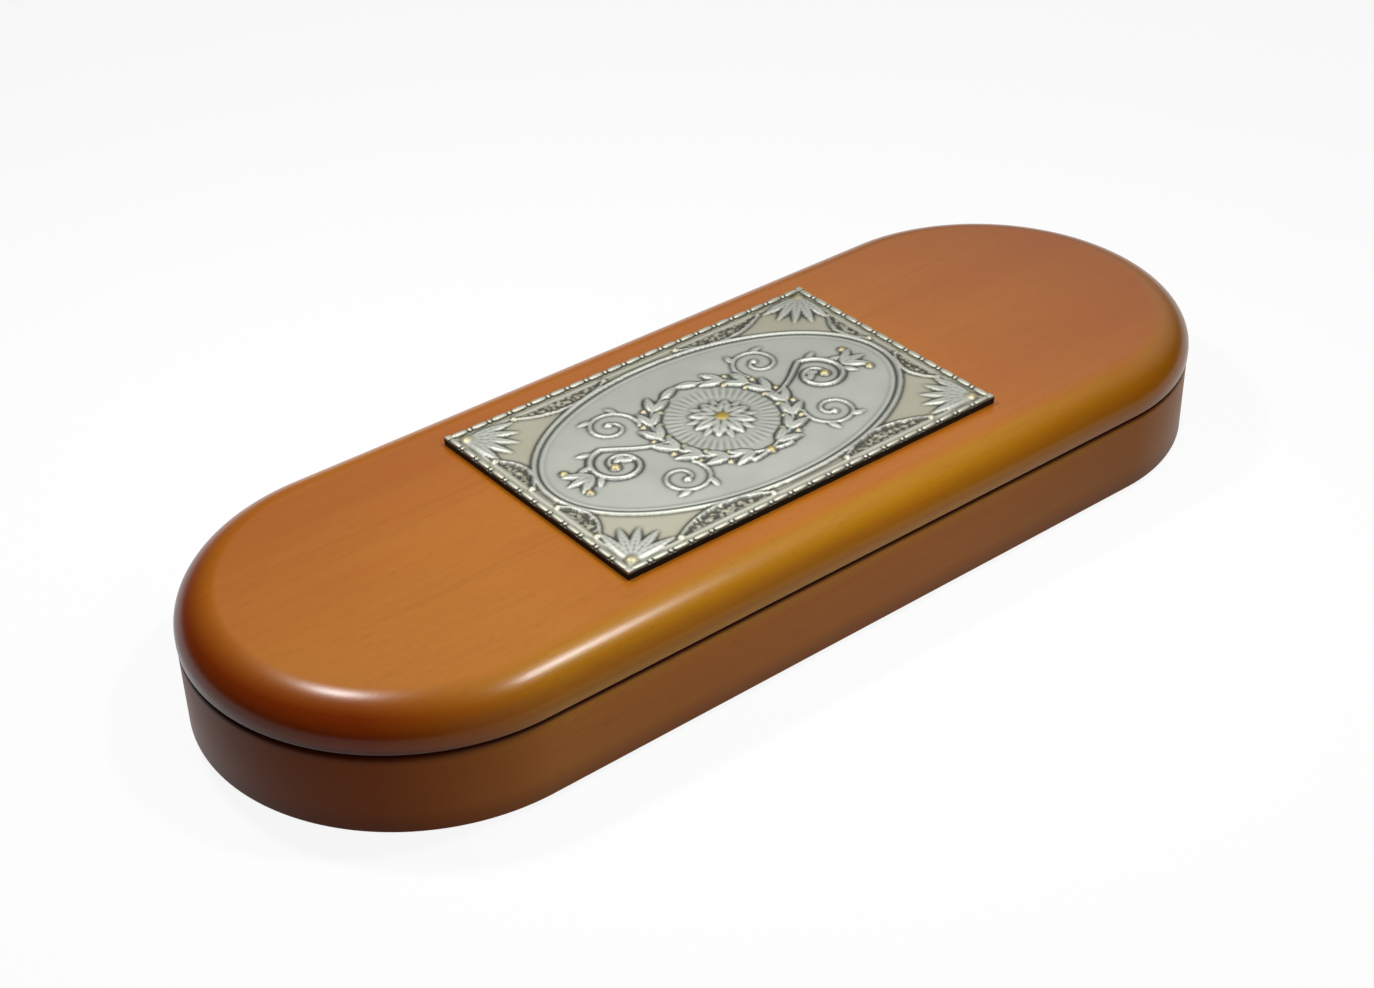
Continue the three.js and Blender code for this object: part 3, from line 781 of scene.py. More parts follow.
def makeScrew():
    # its head's face at the origin, its point towards +Z, the thread a ridge that climbs round it
    shape = screwShape
    head = shape["headRadius"] - shape["shankRadius"]
    threadEnd = shape["length"] - shape["plainTip"]
    rings = [(shape["headFlat"] * shape["headRadius"], 0), (shape["headRadius"], shape["headRim"])]
    rings += [(shape["shankRadius"], head)]
    for i in range(shape["threadSteps"] + 1):
        start = head + shape["neck"]
        z = start + (threadEnd - start) * i / shape["threadSteps"]
        taper = max(z - (shape["length"] - shape["tipLength"]), 0) / shape["tipLength"]
        rings.append((shape["shankRadius"] + (shape["tipRadius"] - shape["shankRadius"]) * taper, z))
    rings.append((shape["tipRadius"], shape["length"]))
    screw = drawUp("screw", rings, sides=24)
    for vertex in screw.data.vertices:
        x, y, z = vertex.co
        if head + shape["plainNeck"] < z < threadEnd:
            turn = math.atan2(y, x) / (2 * math.pi)
            ridge = 1 - abs(2 * ((z / shape["threadPitch"] - turn) % 1) - 1)
            radius = math.hypot(x, y)
            thinner = radius - shape["threadDepth"] * (1 - ridge) * radius / shape["shankRadius"]
            vertex.co.x *= thinner / radius
            vertex.co.y *= thinner / radius
    reach, half = 2 * shape["headRadius"], shape["slotWidth"] / 2
    carve(screw, [blockBetween("slot", (-reach, -half, -overrun), (reach, half, shape["slotDepth"]))])
    tidyMesh(screw, smoothAngle=40)
    return screw


def makeMagnet():
    # its face at the origin, its body towards +Z
    shape = magnetShape
    radius, edge, top = shape["radius"], shape["edge"], shape["thickness"]
    rings = [(radius - 2 * edge, 0)] + bend(radius - edge, edge, edge, edge, -90, 0, steps=4)
    rings += bend(radius - edge / 2, top - edge / 2, edge / 2, edge / 2, 0, 90, steps=3)
    rings += [(radius - 2 * edge, top)]
    return drawUp("magnet", rings, sides=64)


def makeFittings(brass, nickel):
    shape = hingeShape
    leaves = {-1: makeLeaf(-1), 1: makeLeaf(1)}
    pin, screw, magnet = makePin(), makeScrew(), makeMagnet()
    for h, hand in enumerate(("left", "right")):
        centre = shape["centres"][h]
        piece = copyOf(pin, hand + "HingePin", (centre, pivot.y, pivot.z))
        settle(piece, "base", "brass", brass, hand + "_hinge_pin")
        for half, side, body in (("tray", -1, "base"), ("lid", 1, "lid")):
            face = pivot.z + side * jointGap / 2
            start = hand + "Hinge" + half.capitalize()
            piece = copyOf(leaves[side], start + "Leaf", (centre, pivot.y, pivot.z))
            settle(piece, body, "brass", brass, hand + "_hinge_" + half + "_leaf")
            for s, offset in enumerate(shape["screwOffsets"]):
                place = (centre + offset, screwY, face)
                piece = copyOf(screw, start + "Screw" + str(s + 1), place, flip=side < 0)
                settle(piece, body, "brass", brass, hand + "_hinge_" + half + "_screw_" + str(s + 1))
            place = (magnetShape["places"][h], magnetY, face - side * magnetShape["proud"])
            piece = copyOf(magnet, hand + half.capitalize() + "Magnet", place, flip=side < 0)
            settle(piece, body, "nickel_plate", nickel, hand + "_" + half + "_magnet")
    for model in (*leaves.values(), pin, screw, magnet):
        bpy.data.objects.remove(model)


makeFittings(makeMaterial("stampedBrass", brassLook), makeMaterial("brightNickelPlate", nickelLook))
print("hinges and magnets made")


# The plaque. Its relief is worked out in millimetres from its middle

plaqueShape = {
    "length": 79,
    "width": 50.5,
    "sheetThickness": 0.35,
    "cell": 0.21,
    "border": 0.01,
    "boardRound": 0.15,
    "tallest": 0.84,
}
mouldingShape = {
    "radius": 0.65,
    "flatten": 0.8,
    "repeatsAlong": 19,
    "repeatsAcross": 12,
    "sides": 14,
    "sink": 0.1,
    "merge": 0.01,
    # a corner stud's shoulder, as a share of its radius and in mm below its top, and its top's share
    "studShoulder": (0.86, 0.12),
    "studTop": 0.3,
    # the blackening: in the necks as shares of the radius, at the foot in mm up. Outside it reaches higher:
    # partly patina, partly painted shadow
    "neckFrom": 0.8,
    "neckFade": 0.25,
    "footFade": {"outside": 0.45, "inside": 0.25},
    "gilt": 0.15,
    # half a bead, a reel and half a bead, as shares of the pitch and of the radius
    "profileShares": (
        (0, 0.9), (0.05, 0.86), (0.09, 0.7), (0.115, 0.4), (0.14, 0.7), (0.2, 0.88), (0.32, 0.97), (0.5, 1),
        (0.68, 0.97), (0.8, 0.88), (0.86, 0.7), (0.885, 0.4), (0.91, 0.7), (0.95, 0.86), (1, 0.9),
    ),
}
leafShape = {
    "margin": 0.001,
    "taper": 0.8,
    "endHeight": 0.6,  # as a share of its height half way
    "grooveDepth": 0.35,
    "grooveWidth": 0.16,
    "veinDepth": 0.1,
    "veinSlant": 0.9,
}
# A leaf is (length, width, height, side veins), a line (radius, what it gains along its way, height),
# and a knob (radius, height, gilt)
reliefShape = {
    "least": 0.03,
    "leastSlope": 1e-6,
    "groundGilt": 0.24,
    "fillet": {"from": 1.8, "width": 0.5, "slope": 0.15, "height": 0.14},
    "oval": {"inset": 3.6, "radius": 0.42, "height": 0.36},
    "innerOval": {"inset": 1.3, "radius": 0.18, "height": 0.12},
    "wreath": {
        "radius": 12,
        "startDegrees": 12,
        "sweepDegrees": 148,
        "line": (0.3, 0, 0.42),
        "lineSteps": 60,
        "leafSteps": 7,
        "leaf": (4.8, 1.9, 0.6, 5),
        "leafDegrees": 24,
        "berryOff": 1.45,
        "berry": (0.5, 0.45, 0.7),
        "bossDrop": 0.85,
        "boss": (0.9, 0.6, 0.8),
    },
    "cutStem": {
        "from": 2.5,
        "across": 6.6,
        "up": 0.26,
        "lift": 1.5,
        "bow": 2.2,
        "drop": 3.1,
        "steps": 30,
        "line": (0.3, 0.12, 0.44),
    },
    "rays": {"count": 44, "from": 6.6, "to": 9.9, "height": 0.12, "taper": 0.5},
    "flower": {
        "petals": 8,
        "petal": (5.8, 3.1, 0.6, 3),
        "sepal": (6.496, 1.86, 0.34, 5),
        "heart": (1.6, 0.84),
        "seedHeight": 0.06,
        "seedPitch": 0.62,
        "seedsAbove": 0.2,
        "gilt": 1,
    },
    "scroll": {
        "centre": 21.8,
        "outer": 5.4,
        "inner": 1.2,
        "turns": 1.3,
        "startDegrees": 90,
        "steps": 110,
        "line": (0.55, -0.2, 0.48),
        "eye": (0.95, 0.6, 0.6),
        # where along it a leaf grows and how far it leans, in steps and degrees
        "leaves": ((4, -50), (14, -58), (24, -62), (62, 60), (72, 55)),
        "leaf": (3.1, 1.3, 0.42, 3),
    },
    "stem": {"from": 12.4, "across": 9.4, "rise": 5.4, "sag": 1.6, "steps": 50, "line": (0.28, 0.24, 0.44)},
    "spray": {"count": 3, "spreadDegrees": 70, "leaf": (5.2, 1.9, 0.5, 5)},
    "bud": {
        "across": 3.3,
        "rise": 3.6,
        "bow": 1.5,
        "steps": 24,
        "line": (0.2, 0, 0.3),
        "knob": (0.7, 0.5, 0.7),
    },
    "tendril": {
        "centre": (16.2, 9.8),
        "outer": 5,
        "inner": 0.9,
        "turns": 1.3,
        "startDegrees": -31,
        "steps": 80,
        "line": (0.36, -0.12, 0.36),
        "eye": (0.7, 0.45, 0),
        "leafSteps": (12, 24),
        "leafDegrees": 38,
        "leaf": (2.9, 1.2, 0.38, 3),
    },
    "palmette": {
        "inset": 2.8,
        "count": 5,
        "spreadDegrees": 84,
        "leaf": (9, 2.1, 0.5, 8),
        "knob": (1.1, 0.55, 0.5),
    },
    # where a pocket starts and ends from the middle, and how far it reaches in
    "pockets": {
        "long": (8, 27, 2.9),
        "short": (3.5, 14, 2.6),
        "edge": 2.6,
        "bow": 0.8,
        "steps": 60,
        "radius": (0.3, 0.14),
        "height": 0.4,
        "curl": (0.62, 0.46, 0.3),
    },
}


def halfRound(distance, radius, height):
    return height * np.sqrt(np.clip(1 - (distance / radius) ** 2, 0, None))


def ovalDistance(x, y, a, b):
    share = np.hypot(x / a, y / b)
    slope = np.hypot(x / a**2, y / b**2)
    return share * (share - 1) / np.maximum(slope, reliefShape["leastSlope"])


def leafRelief(x, y, root, heading, size):
    # a leaf from its root along its heading, swollen, with a groove down its middle and fine side veins
    shape = leafShape
    length, width, height, veins = size
    dx, dy = x - root[0], y - root[1]
    along = (dx * math.cos(heading) + dy * math.sin(heading)) / length
    across = (dy * math.cos(heading) - dx * math.sin(heading)) / (width / 2)
    inside = (along > 0) & (along < 1)
    along = np.clip(along, shape["margin"], 1 - shape["margin"])
    out = np.abs(across) / np.sin(np.pi * along ** shape["taper"]) ** shape["taper"]
    middle = shape["endHeight"] + (1 - shape["endHeight"]) * np.sin(np.pi * along)
    swell = np.sqrt(np.clip(1 - out**2, 0, None)) * middle
    groove = shape["grooveDepth"] * np.exp(-((across * width / 2 / shape["grooveWidth"]) ** 2))
    wave = np.cos(2 * np.pi * (along * veins - shape["veinSlant"] * np.abs(across)))
    return np.where(inside, height * swell * (1 - groove - shape["veinDepth"] * (1 + wave) / 2), 0)


def strokeRelief(x, y, points, radii, height):
    # a half-round line along points, each with its own radius
    points, radii = np.array(points), np.array(radii)
    low = points.min(axis=0) - radii.max()
    high = points.max(axis=0) + radii.max()
    near = (x > low[0]) & (x < high[0]) & (y > low[1]) & (y < high[1])
    gap = np.hypot(x[near][:, None] - points[:, 0], y[near][:, None] - points[:, 1]) / radii
    relief = np.zeros(x.shape)
    relief[near] = height * np.sqrt(np.clip(1 - gap.min(axis=1) ** 2, 0, None))
    return relief


def shares(count):
    # equal steps from 0 to 1
    return [i / count for i in range(count + 1)]


def spread(middle, fan):
    # the headings of a fan's leaves
    return [middle + math.radians((s - 0.5) * fan["spreadDegrees"]) for s in shares(fan["count"] - 1)]


def spiral(centre, hand, rise, shape):
    # inwards from its outer end, mirrored sideways by hand and upwards by rise
    points = []
    for share in shares(shape["steps"]):
        radius = shape["outer"] + (shape["inner"] - shape["outer"]) * share
        angle = math.radians(shape["startDegrees"]) + share * shape["turns"] * 2 * math.pi
        out = (-hand * radius * math.cos(angle), rise * radius * math.sin(angle))
        points.append((centre[0] + out[0], centre[1] + out[1]))
    return points


def plaqueRelief(x, y):
    # returns heights above the sheet, how stippled the ground is and how gilt it is, at each place
    shape = reliefShape
    halfLength, halfWidth = plaqueShape["length"] / 2, plaqueShape["width"] / 2
    raised = np.zeros(x.shape)
    gilt = np.zeros(x.shape)
    stipple = np.zeros(x.shape)

    def add(form, golden=0.0):
        nonlocal raised, gilt
        gilt = np.where(form > raised, np.where(form > shape["least"], golden, 0), gilt)
        raised = np.maximum(raised, form)

    def addLine(points, line):
        radius, gain, height = line
        add(strokeRelief(x, y, points, [radius + gain * s for s in shares(len(points) - 1)], height))

    def addKnob(place, knob):
        radius, height, golden = knob
        add(halfRound(np.hypot(x - place[0], y - place[1]), radius, height), golden)

    def addLeaf(root, heading, leaf):
        add(leafRelief(x, y, root, heading, leaf))

    def addLeafOn(points, step, degrees, leaf):
        # it leans away from the way the points go
        root, onward = points[step], points[step + 1]
        heading = math.atan2(onward[1] - root[1], onward[0] - root[0])
        addLeaf(root, heading + math.radians(degrees), leaf)

    # the fillet inside the moulding, and the oval with a finer line inside it
    fillet = shape["fillet"]
    edge = np.minimum(halfLength - np.abs(x), halfWidth - np.abs(y))
    off = np.abs(edge - fillet["from"] - fillet["width"] / 2)
    add(fillet["height"] * np.clip((fillet["width"] / 2 - off) / fillet["slope"], 0, 1))
    outer, inner = shape["oval"], shape["innerOval"]
    oval = ovalDistance(x, y, halfLength - outer["inset"], halfWidth - outer["inset"])
    add(halfRound(oval, outer["radius"], outer["height"]))
    add(halfRound(oval + inner["inset"], inner["radius"], inner["height"]))

    # the wreath: two branches with berries, their stems crossed below and held by a boss
    wreath, cut = shape["wreath"], shape["cutStem"]
    radius = wreath["radius"]

    def around(away, share, hand):
        angle = math.radians(-90 + hand * (wreath["startDegrees"] + wreath["sweepDegrees"] * share))
        return (away * math.cos(angle), away * math.sin(angle)), angle

    for hand in (-1, 1):
        addLine([around(radius, s, hand)[0] for s in shares(wreath["lineSteps"])], wreath["line"])
        crossed = []
        for s in shares(cut["steps"]):
            rise = cut["up"] + cut["lift"] * s ** cut["bow"] - cut["drop"] * s
            crossed.append((hand * (cut["from"] - cut["across"] * s), rise - radius))
        addLine(crossed, cut["line"])
        for share in shares(wreath["leafSteps"]):
            root, angle = around(radius, share, hand)
            heading = angle + hand * math.pi / 2
            for turn in (-1, 1) if share < 1 else (0,):
                addLeaf(root, heading + math.radians(turn * wreath["leafDegrees"]), wreath["leaf"])
            if 0 < share < 1:
                for side in (-1, 1):
                    addKnob(around(radius + side * wreath["berryOff"], share, hand)[0], wreath["berry"])
    addKnob((0, -radius - wreath["bossDrop"]), wreath["boss"])

    # fine rays between the wreath and the flower
    rays = shape["rays"]
    reach = np.hypot(x, y)
    rayShare = np.clip((reach - rays["from"]) / (rays["to"] - rays["from"]), 0, 1)
    ridges = np.clip(np.cos(np.arctan2(y, x) * rays["count"]), 0, None)
    add(rays["height"] * (ridges * np.sin(np.pi * rayShare) ** rays["taper"]))

    # the flower: sepals, petals and a seeded heart
    flower = shape["flower"]
    for kind, shift in (("sepal", 0.5), ("petal", 0)):
        for i in range(flower["petals"]):
            addLeaf((0, 0), 2 * math.pi * (i + shift) / flower["petals"], flower[kind])
    heartRadius, heartHeight = flower["heart"]
    pitch = flower["seedPitch"]
    seeds = flower["seedHeight"] * np.cos(2 * np.pi * x / pitch) * np.cos(2 * np.pi * y / pitch)
    heart = halfRound(reach, heartRadius, heartHeight - flower["seedHeight"])
    add(np.where(heart > 0, heart + seeds * (heart > flower["seedsAbove"]), 0), flower["gilt"])

    # scrolls on both hands, with small leaves outside them, and sprays towards the oval's ends
    scroll, stem, spray, bud, tendril = [shape[k] for k in ("scroll", "stem", "spray", "bud", "tendril")]
    for hand in (-1, 1):
        points = spiral((hand * scroll["centre"], 0), hand, 1, scroll)
        addLine(points, scroll["line"])
        addKnob(points[-1], scroll["eye"])
        bent = []
        for s in shares(stem["steps"]):
            rise = stem["rise"] * math.sin(math.pi / 2 * s) - stem["sag"] * math.sin(math.pi * s)
            bent.append((hand * (stem["from"] + stem["across"] * s), rise))
        addLine(bent, stem["line"])
        for step, degrees in scroll["leaves"]:
            addLeafOn(points, step, -hand * degrees, scroll["leaf"])
        root = (hand * (scroll["centre"] + scroll["outer"]), 0)
        for heading in spread(0 if hand > 0 else math.pi, spray):
            addLeaf(root, heading, spray["leaf"])
        for rise in (-1, 1):
            vine = [
                (root[0] + hand * bud["across"] * s, rise * bud["rise"] * s ** bud["bow"])
                for s in shares(bud["steps"])
            ]
            addLine(vine, bud["line"])
            addKnob(vine[-1], bud["knob"])
        for rise in (-1, 1):
            # a tendril that leaves the wreath and curls outwards, with two small leaves
            centre = (hand * tendril["centre"][0], rise * tendril["centre"][1])
            points = spiral(centre, hand, rise, tendril)
            addLine(points, tendril["line"])
            addKnob(points[-1], tendril["eye"])
            for step in tendril["leafSteps"]:
                addLeafOn(points, step, hand * rise * tendril["leafDegrees"], tendril["leaf"])

    # the corners: palmettes, and beside them stippled pockets under a raised line with curled ends
    palmette, pockets = shape["palmette"], shape["pockets"]
    corners = [(signX, signY) for signX in (-1, 1) for signY in (-1, 1)]
    for signX, signY in corners:
        root = (signX * (halfLength - palmette["inset"]), signY * (halfWidth - palmette["inset"]))
        for heading in spread(math.atan2(-signY, -signX), palmette):
            addLeaf(root, heading, palmette["leaf"])
        addKnob(root, palmette["knob"])
    for along, off, halfOff, pocket in ((x, y, halfWidth, "long"), (y, x, halfLength, "short")):
        start, end, depth = pockets[pocket]
        share = np.clip((np.abs(along) - start) / (end - start), 0, 1)
        inward = halfOff - np.abs(off) - pockets["edge"]
        bulge = depth * np.sin(np.pi * share) ** pockets["bow"]
        stipple = np.where((inward > 0) & (inward < bulge), 1, stipple)
        for signAlong, signOff in corners:
            line, radii = [], []
            for s in shares(pockets["steps"]):
                arch = math.sin(math.pi * s)
                place = (
                    signAlong * (start + (end - start) * s),
                    signOff * (halfOff - pockets["edge"] - depth * arch ** pockets["bow"]),
                )
                line.append(place if pocket == "long" else place[::-1])
                radii.append(pockets["radius"][0] + pockets["radius"][1] * arch)
            add(strokeRelief(x, y, line, radii, pockets["height"]))
            for tip in (line[0], line[-1]):
                addKnob(tip, pockets["curl"])
    ground = (oval > outer["radius"]) & (raised < shape["least"])
    gilt = np.maximum(gilt, np.where(ground, shape["groundGilt"], 0))
    return raised, stipple, gilt


def blurred(field, passes):
    for _ in range(passes):
        for axis in (0, 1):
            padded = np.pad(field, [(1, 1) if a == axis else (0, 0) for a in (0, 1)], mode="edge")
            before = np.take(padded, range(0, field.shape[axis]), axis)
            after = np.take(padded, range(2, field.shape[axis] + 2), axis)
            field = (before + 2 * field + after) / 4
    return field


patinaShape = {
    # passes of blur, which reaches about as many cells as the root of their number
    "softRelief": 1,
    "softPockets": 2,
    # a near and a wide look round: passes of blur, how far below what is there a place has to be to turn
    # black, in mm, and how black it turns
    "hollows": ((6, 0.075, 0.92), (70, 0.35, 0.16)),
    "most": 0.88,
    # the stippled pockets: sunk, grained, and blackened between the grains
    "pocketSink": 0.06,
    "grainHeight": 0.045,
    "pocketShare": 0.75,
    "pocketBlack": 0.55,
    "grainBright": 0.3,
    "seed": 5,
}


def makeSheet(silver, sheetTop):
    # thin silver pressed over a die: its relief stands up from a grid of fine cells
    shape, dark = plaqueShape, patinaShape
    across = round(shape["length"] / shape["cell"])
    down = round(shape["width"] / shape["cell"])
    deselectAll()
    bpy.ops.mesh.primitive_grid_add(
        x_subdivisions=across, y_subdivisions=down, size=1, location=(0, 0, sheetTop)
    )
    sheet = newest("plaqueSilverSheet")
    sheet.scale = (shape["length"] * mm, shape["width"] * mm, 1)
    applyPlace(sheet)
    count = len(sheet.data.vertices)
    places = np.empty(count * 3)
    sheet.data.vertices.foreach_get("co", places)
    places = places.reshape(-1, 3)
    # row by row, whatever order the grid came in
    order = np.lexsort((np.round(places[:, 0] / mm, 3), np.round(places[:, 1] / mm, 3)))
    x, y = places[order, 0] / mm, places[order, 1] / mm
    raised, stipple, gilt = plaqueRelief(x, y)
    field = (down + 1, across + 1)
    grain = blurred(np.random.default_rng(dark["seed"]).random(field), dark["softPockets"])
    grain = (grain - grain.mean()) / grain.std()
    pockets = blurred(stipple.reshape(field), dark["softPockets"])
    stippled = pockets * (dark["grainHeight"] * grain - dark["pocketSink"])
    height = blurred(raised.reshape(field), dark["softRelief"]) + stippled
    height = np.minimum(height, shape["tallest"])
    between = np.clip(dark["pocketBlack"] - dark["grainBright"] * grain, 0, 1)
    patinaAndPaintedShadow = dark["pocketShare"] * pockets * between
    for passes, depth, share in dark["hollows"]:
        patinaAndPaintedShadow += share * np.clip((blurred(height, passes) - height) / depth, 0, 1)
    patinaAndPaintedShadow = np.clip(patinaAndPaintedShadow, 0, dark["most"])
    # the turned-down edges are painted black all round: painted shadow along the sheet's edge
    patinaAndPaintedShadow[(0, -1), :] = 1
    patinaAndPaintedShadow[:, (0, -1)] = 1
    places[order, 2] = sheetTop + height.ravel() * mm
    sheet.data.vertices.foreach_set("co", places.ravel())
    for name, values in (("patinaAndPaintedShadow", patinaAndPaintedShadow), ("gilt", blurred(gilt.reshape(field), dark["softRelief"]))):
        attribute = sheet.data.attributes.new(name, "FLOAT", "POINT")
        column = np.empty(count)
        column[order] = values.ravel()
        attribute.data.foreach_set("value", column)
    # its edges turned down to the board, and its back closed
    openMesh(sheet)
    halfX, halfY = ((shape[side] / 2 - shape["border"]) * mm for side in ("length", "width"))
    pickVertices(sheet, lambda place: abs(place.x) > halfX or abs(place.y) > halfY)
    bpy.ops.mesh.extrude_region_move(TRANSFORM_OT_translate={"value": (0, 0, -mm)})
    bottom = sheetTop - shape["sheetThickness"] * mm
    bpy.ops.transform.resize(value=(1, 1, 0), center_override=(0, 0, bottom))
    bpy.ops.mesh.edge_face_add()
    closeMesh()
    tidyMesh(sheet, smoothAngle=60)
    settle(sheet, "lid", "aged_silver", silver, "plaque_sheet")


def mouldingRun(name, length, repeats):
    # reels and beads on one line: one repeat is turned, copied along and capped
    shape = mouldingShape
    pitch, radius = length / repeats, shape["radius"] * mm
    profile = shape["profileShares"]
    one = drawUp(name, [(girth * radius, along * pitch) for along, girth in profile], sides=shape["sides"])
    one.data.transform(Matrix.Rotation(math.pi / 2, 4, "Y") @ Matrix.Translation((0, 0, -length / 2)))
    openMesh(one)
    grid = bmesh.from_edit_mesh(one.data)
    caps = [face for face in grid.faces if len(face.verts) > 4]
    bmesh.ops.delete(grid, geom=caps, context="FACES_ONLY")
    bmesh.update_edit_mesh(one.data)
    closeMesh()
    useModifier(
        one, "ARRAY", count=repeats, use_relative_offset=False, use_constant_offset=True,
        constant_offset_displace=(pitch, 0, 0),
        use_merge_vertices=True, merge_threshold=shape["merge"] * mm,
    )
    openMesh(one)
    bpy.ops.mesh.fill_holes(sides=0)
    bpy.ops.mesh.select_all(action="SELECT")
    bpy.ops.mesh.bisect(
        plane_co=(0, 0, -shape["sink"] * mm), plane_no=(0, 0, 1), use_fill=True, clear_inner=True
    )
    closeMesh()
    tidyMesh(one, smoothAngle=50)
    return one


def makeMoulding(silver, sheetTop):
    shape = mouldingShape
    length, width = plaqueShape["length"] * mm, plaqueShape["width"] * mm
    radius = shape["radius"] * mm
    along = mouldingRun("mouldingAlong", length - 2 * radius, shape["repeatsAlong"])
    across = mouldingRun("mouldingAcross", width - 2 * radius, shape["repeatsAcross"])
    across.data.transform(Matrix.Rotation(math.pi / 2, 4, "Z"))
    # a small faceted stud for each corner
    corner = math.sqrt(2) * radius
    bottom, top = sheetTop - shape["sink"] * mm, sheetTop + radius
    shoulder, drop = shape["studShoulder"]
    rings = [(corner, bottom), (corner, (bottom + top) / 2)]
    rings += [(shoulder * corner, top - drop * mm), (shape["studTop"] * corner, top)]
    stud = drawUp("stud", rings, sides=4)
    parts = []
    outX, outY = length / 2 - radius, width / 2 - radius
    for side in (-1, 1):
        parts.append(copyOf(along, "run", (0, side * outY, sheetTop)))
        parts.append(copyOf(across, "run", (side * outX, 0, sheetTop)))
        for hand in (-1, 1):
            parts.append(copyOf(stud, "stud", (hand * outX, side * outY, 0)))
    for model in (along, across, stud):
        bpy.data.objects.remove(model)
    deselectAll()
    for part in parts:
        part.select_set(True)
    bpy.context.view_layer.objects.active = parts[0]
    bpy.ops.object.join()
    moulding = newest("plaqueBeadMoulding")
    # patina at its foot and in its necks, reaching higher on the outer foot, which is partly painted
    # shadow, with a little gilding left on it
    dark = []
    for vertex in moulding.data.vertices:
        x, y, z = vertex.co
        rise = z - sheetTop
        past = (abs(x) - outX, abs(y) - outY)
        girth = min(math.hypot(off, rise) for off in past)
        neck = (shape["neckFrom"] - girth / radius) / shape["neckFade"]
        foot = 1 - rise / (shape["footFade"]["outside" if max(past) > 0 else "inside"] * mm)
        dark.append(min(max(neck, foot, 0), 1))
    for name, values in (("patinaAndPaintedShadow", dark), ("gilt", [shape["gilt"]] * len(dark))):
        moulding.data.attributes.new(name, "FLOAT", "POINT").data.foreach_set("value", values)
    # pressed from sheet, it is lower than it is wide
    flatten = Matrix.Diagonal((1, 1, shape["flatten"], 1))
    toTop = Matrix.Translation((0, 0, sheetTop))
    moulding.data.transform(toTop @ flatten @ toTop.inverted())
    settle(moulding, "lid", "aged_silver", silver, "plaque_sheet")


def makeBoard(paint):
    board = blockBetween("plaqueBoard", backingLow, backingHigh)
    useModifier(board, "BEVEL", width=plaqueShape["boardRound"] * mm, segments=3, limit_method="NONE")
    tidyMesh(board, smoothAngle=40)
    settle(board, "lid", "black_board", paint, "plaque_backing")


sheetTop = backingHigh.z + glueLine + plaqueShape["sheetThickness"] * mm
silver = makeMaterial("antiqueEmbossedSilver", silverLook)
makeBoard(makeMaterial("blackPaintedBoard", boardLook))
makeSheet(silver, sheetTop)
makeMoulding(silver, sheetTop)
print("plaque made")


# The studio

photo = {"width": 1374, "focalPixels": 2308.9, "sensorWidth": 36}
viewpoint = {
    "target": (-13.33 * mm, -6.95 * mm, 17.94 * mm),
    "distance": 382.2 * mm,
    "azimuth": -38.18,
    "elevation": 34.21,
    "roll": -1.31,
    "nearest": 10 * mm,
}


def makeCamera():
    view = viewpoint
    azimuth, elevation = math.radians(view["azimuth"]), math.radians(view["elevation"])
    level = math.cos(elevation)
    back = Vector((math.sin(azimuth) * level, -math.cos(azimuth) * level, math.sin(elevation)))
    roll = Matrix.Rotation(math.radians(view["roll"]), 3, "Z")
    turn = back.to_track_quat("Z", "Y").to_matrix() @ roll
    place = Vector(view["target"]) + back * view["distance"]
    deselectAll()
    bpy.ops.object.camera_add(location=place, rotation=turn.to_euler())
    camera = bpy.context.object
    camera.data.sensor_width = photo["sensorWidth"]
    camera.data.lens = photo["focalPixels"] / photo["width"] * photo["sensorWidth"]
    camera.data.clip_start = view["nearest"]
    bpy.context.scene.camera = camera


lamps = [
    # name, place, size, watts; each is aimed at the middle of the lid
    ("crescentLamp", (-0.079, 0.094, 0.246), (0.026, 0.026), 0.355),
    ("streakLamp", (0.049, -0.055, 0.245), (0.032, 0.028), 0.33),
    ("frontFill", (0.2, -1.1, 0.4), (1.2, 1.0), 5.6),
]


def makeLamps():
    aim = Vector((0, 0, lidHigh.z))
    for name, place, size, watts in lamps:
        turn = (Vector(place) - aim).to_track_quat("Z", "Y").to_euler()
        deselectAll()
        bpy.ops.object.light_add(type="AREA", location=place, rotation=turn)
        lamp = bpy.context.object
        lamp.name = name
        lamp.data.shape = "RECTANGLE"
        lamp.data.size, lamp.data.size_y = size
        lamp.data.energy = watts
        lamp.visible_glossy = name != "frontFill"  # so broad that the lacquer shows no patch of it


studio = {
    "floorSize": 8,
    "floorTone": "#827E7A",
    "seenTone": "#5A5A59",
    "seenGlow": 0.9,
    "airLight": 0.06,
    "panelDirection": (0.62, 0.4, 0.675),
    # where the panel's glow starts and is full, its glow there, and the room's
    "panelFade": (0.76, 0.94, 0.9, 0.03),
}


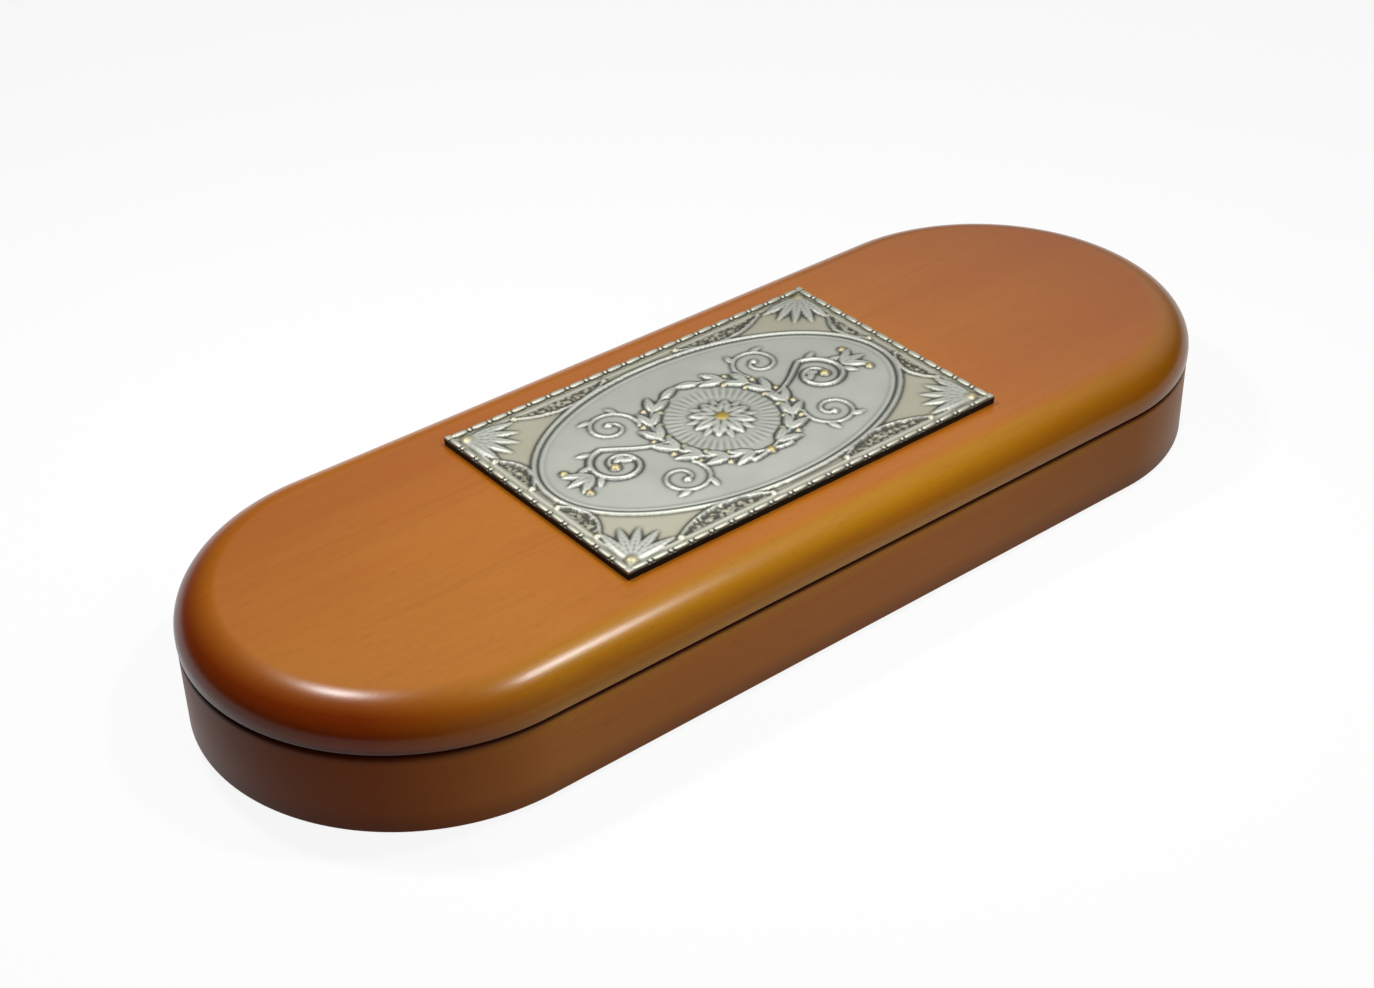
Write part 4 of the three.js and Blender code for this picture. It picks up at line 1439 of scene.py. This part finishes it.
def seenDirectly(tree):
    # 1 where a surface is seen, straight, in a mirror or through glass, and 0 where it only gives light
    path = addNode(tree, "LightPath").outputs
    seen = path["Is Camera Ray"]
    for ray in ("Is Glossy Ray", "Is Transmission Ray"):
        seen = addNode(tree, "Math", {0: seen, 1: path[ray]}, operation="MAXIMUM").outputs[0]
    return seen


def makeFloor():
    deselectAll()
    bpy.ops.mesh.primitive_plane_add(size=studio["floorSize"])
    floor = newest("paleFloor")
    material = bpy.data.materials.new("matteBackdropPaper")
    tree = emptyTree(material)
    bounce = addNode(tree, "BsdfDiffuse", {"Color": rawColour(studio["floorTone"])})
    paper = addNode(tree, "BsdfDiffuse", {"Color": rawColour(studio["seenTone"])})
    glow = addNode(tree, "Emission", {"Strength": studio["seenGlow"]})
    seen = addNode(tree, "AddShader", {0: paper.outputs[0], 1: glow.outputs[0]})
    mix = addNode(tree, "MixShader", {0: seenDirectly(tree), 1: bounce.outputs[0], 2: seen.outputs[0]})
    addNode(tree, "OutputMaterial", {0: mix.outputs[0]})
    give(floor, material)


def makeWorld():
    world = bpy.data.worlds.new("studioAir")
    bpy.context.scene.world = world
    tree = emptyTree(world)
    light = addNode(tree, "Background", {"Color": (1, 1, 1, 1), "Strength": studio["airLight"]})
    # gloss shows a white panel above on the right, which fades to a dim room; the background itself
    # is white all round
    direction = addNode(tree, "TexCoord").outputs["Generated"]
    aimed = {0: direction, 1: studio["panelDirection"]}
    facing = addNode(tree, "VectorMath", aimed, operation="DOT_PRODUCT").outputs["Value"]
    panel = shareWithin(tree, {"facing": facing}, [("facing", studio["panelFade"])])
    camera = addNode(tree, "LightPath").outputs["Is Camera Ray"]
    strength = addNode(tree, "Math", {0: panel, 1: camera}, operation="MAXIMUM").outputs[0]
    white = addNode(tree, "Background", {"Color": (1, 1, 1, 1), "Strength": strength})
    mix = addNode(tree, "MixShader", {0: seenDirectly(tree), 1: light.outputs[0], 2: white.outputs[0]})
    addNode(tree, "OutputWorld", {0: mix.outputs[0]})


makeCamera()
makeLamps()
makeFloor()
makeWorld()
bpy.context.scene.view_settings.view_transform = "Standard"
print("studio set")
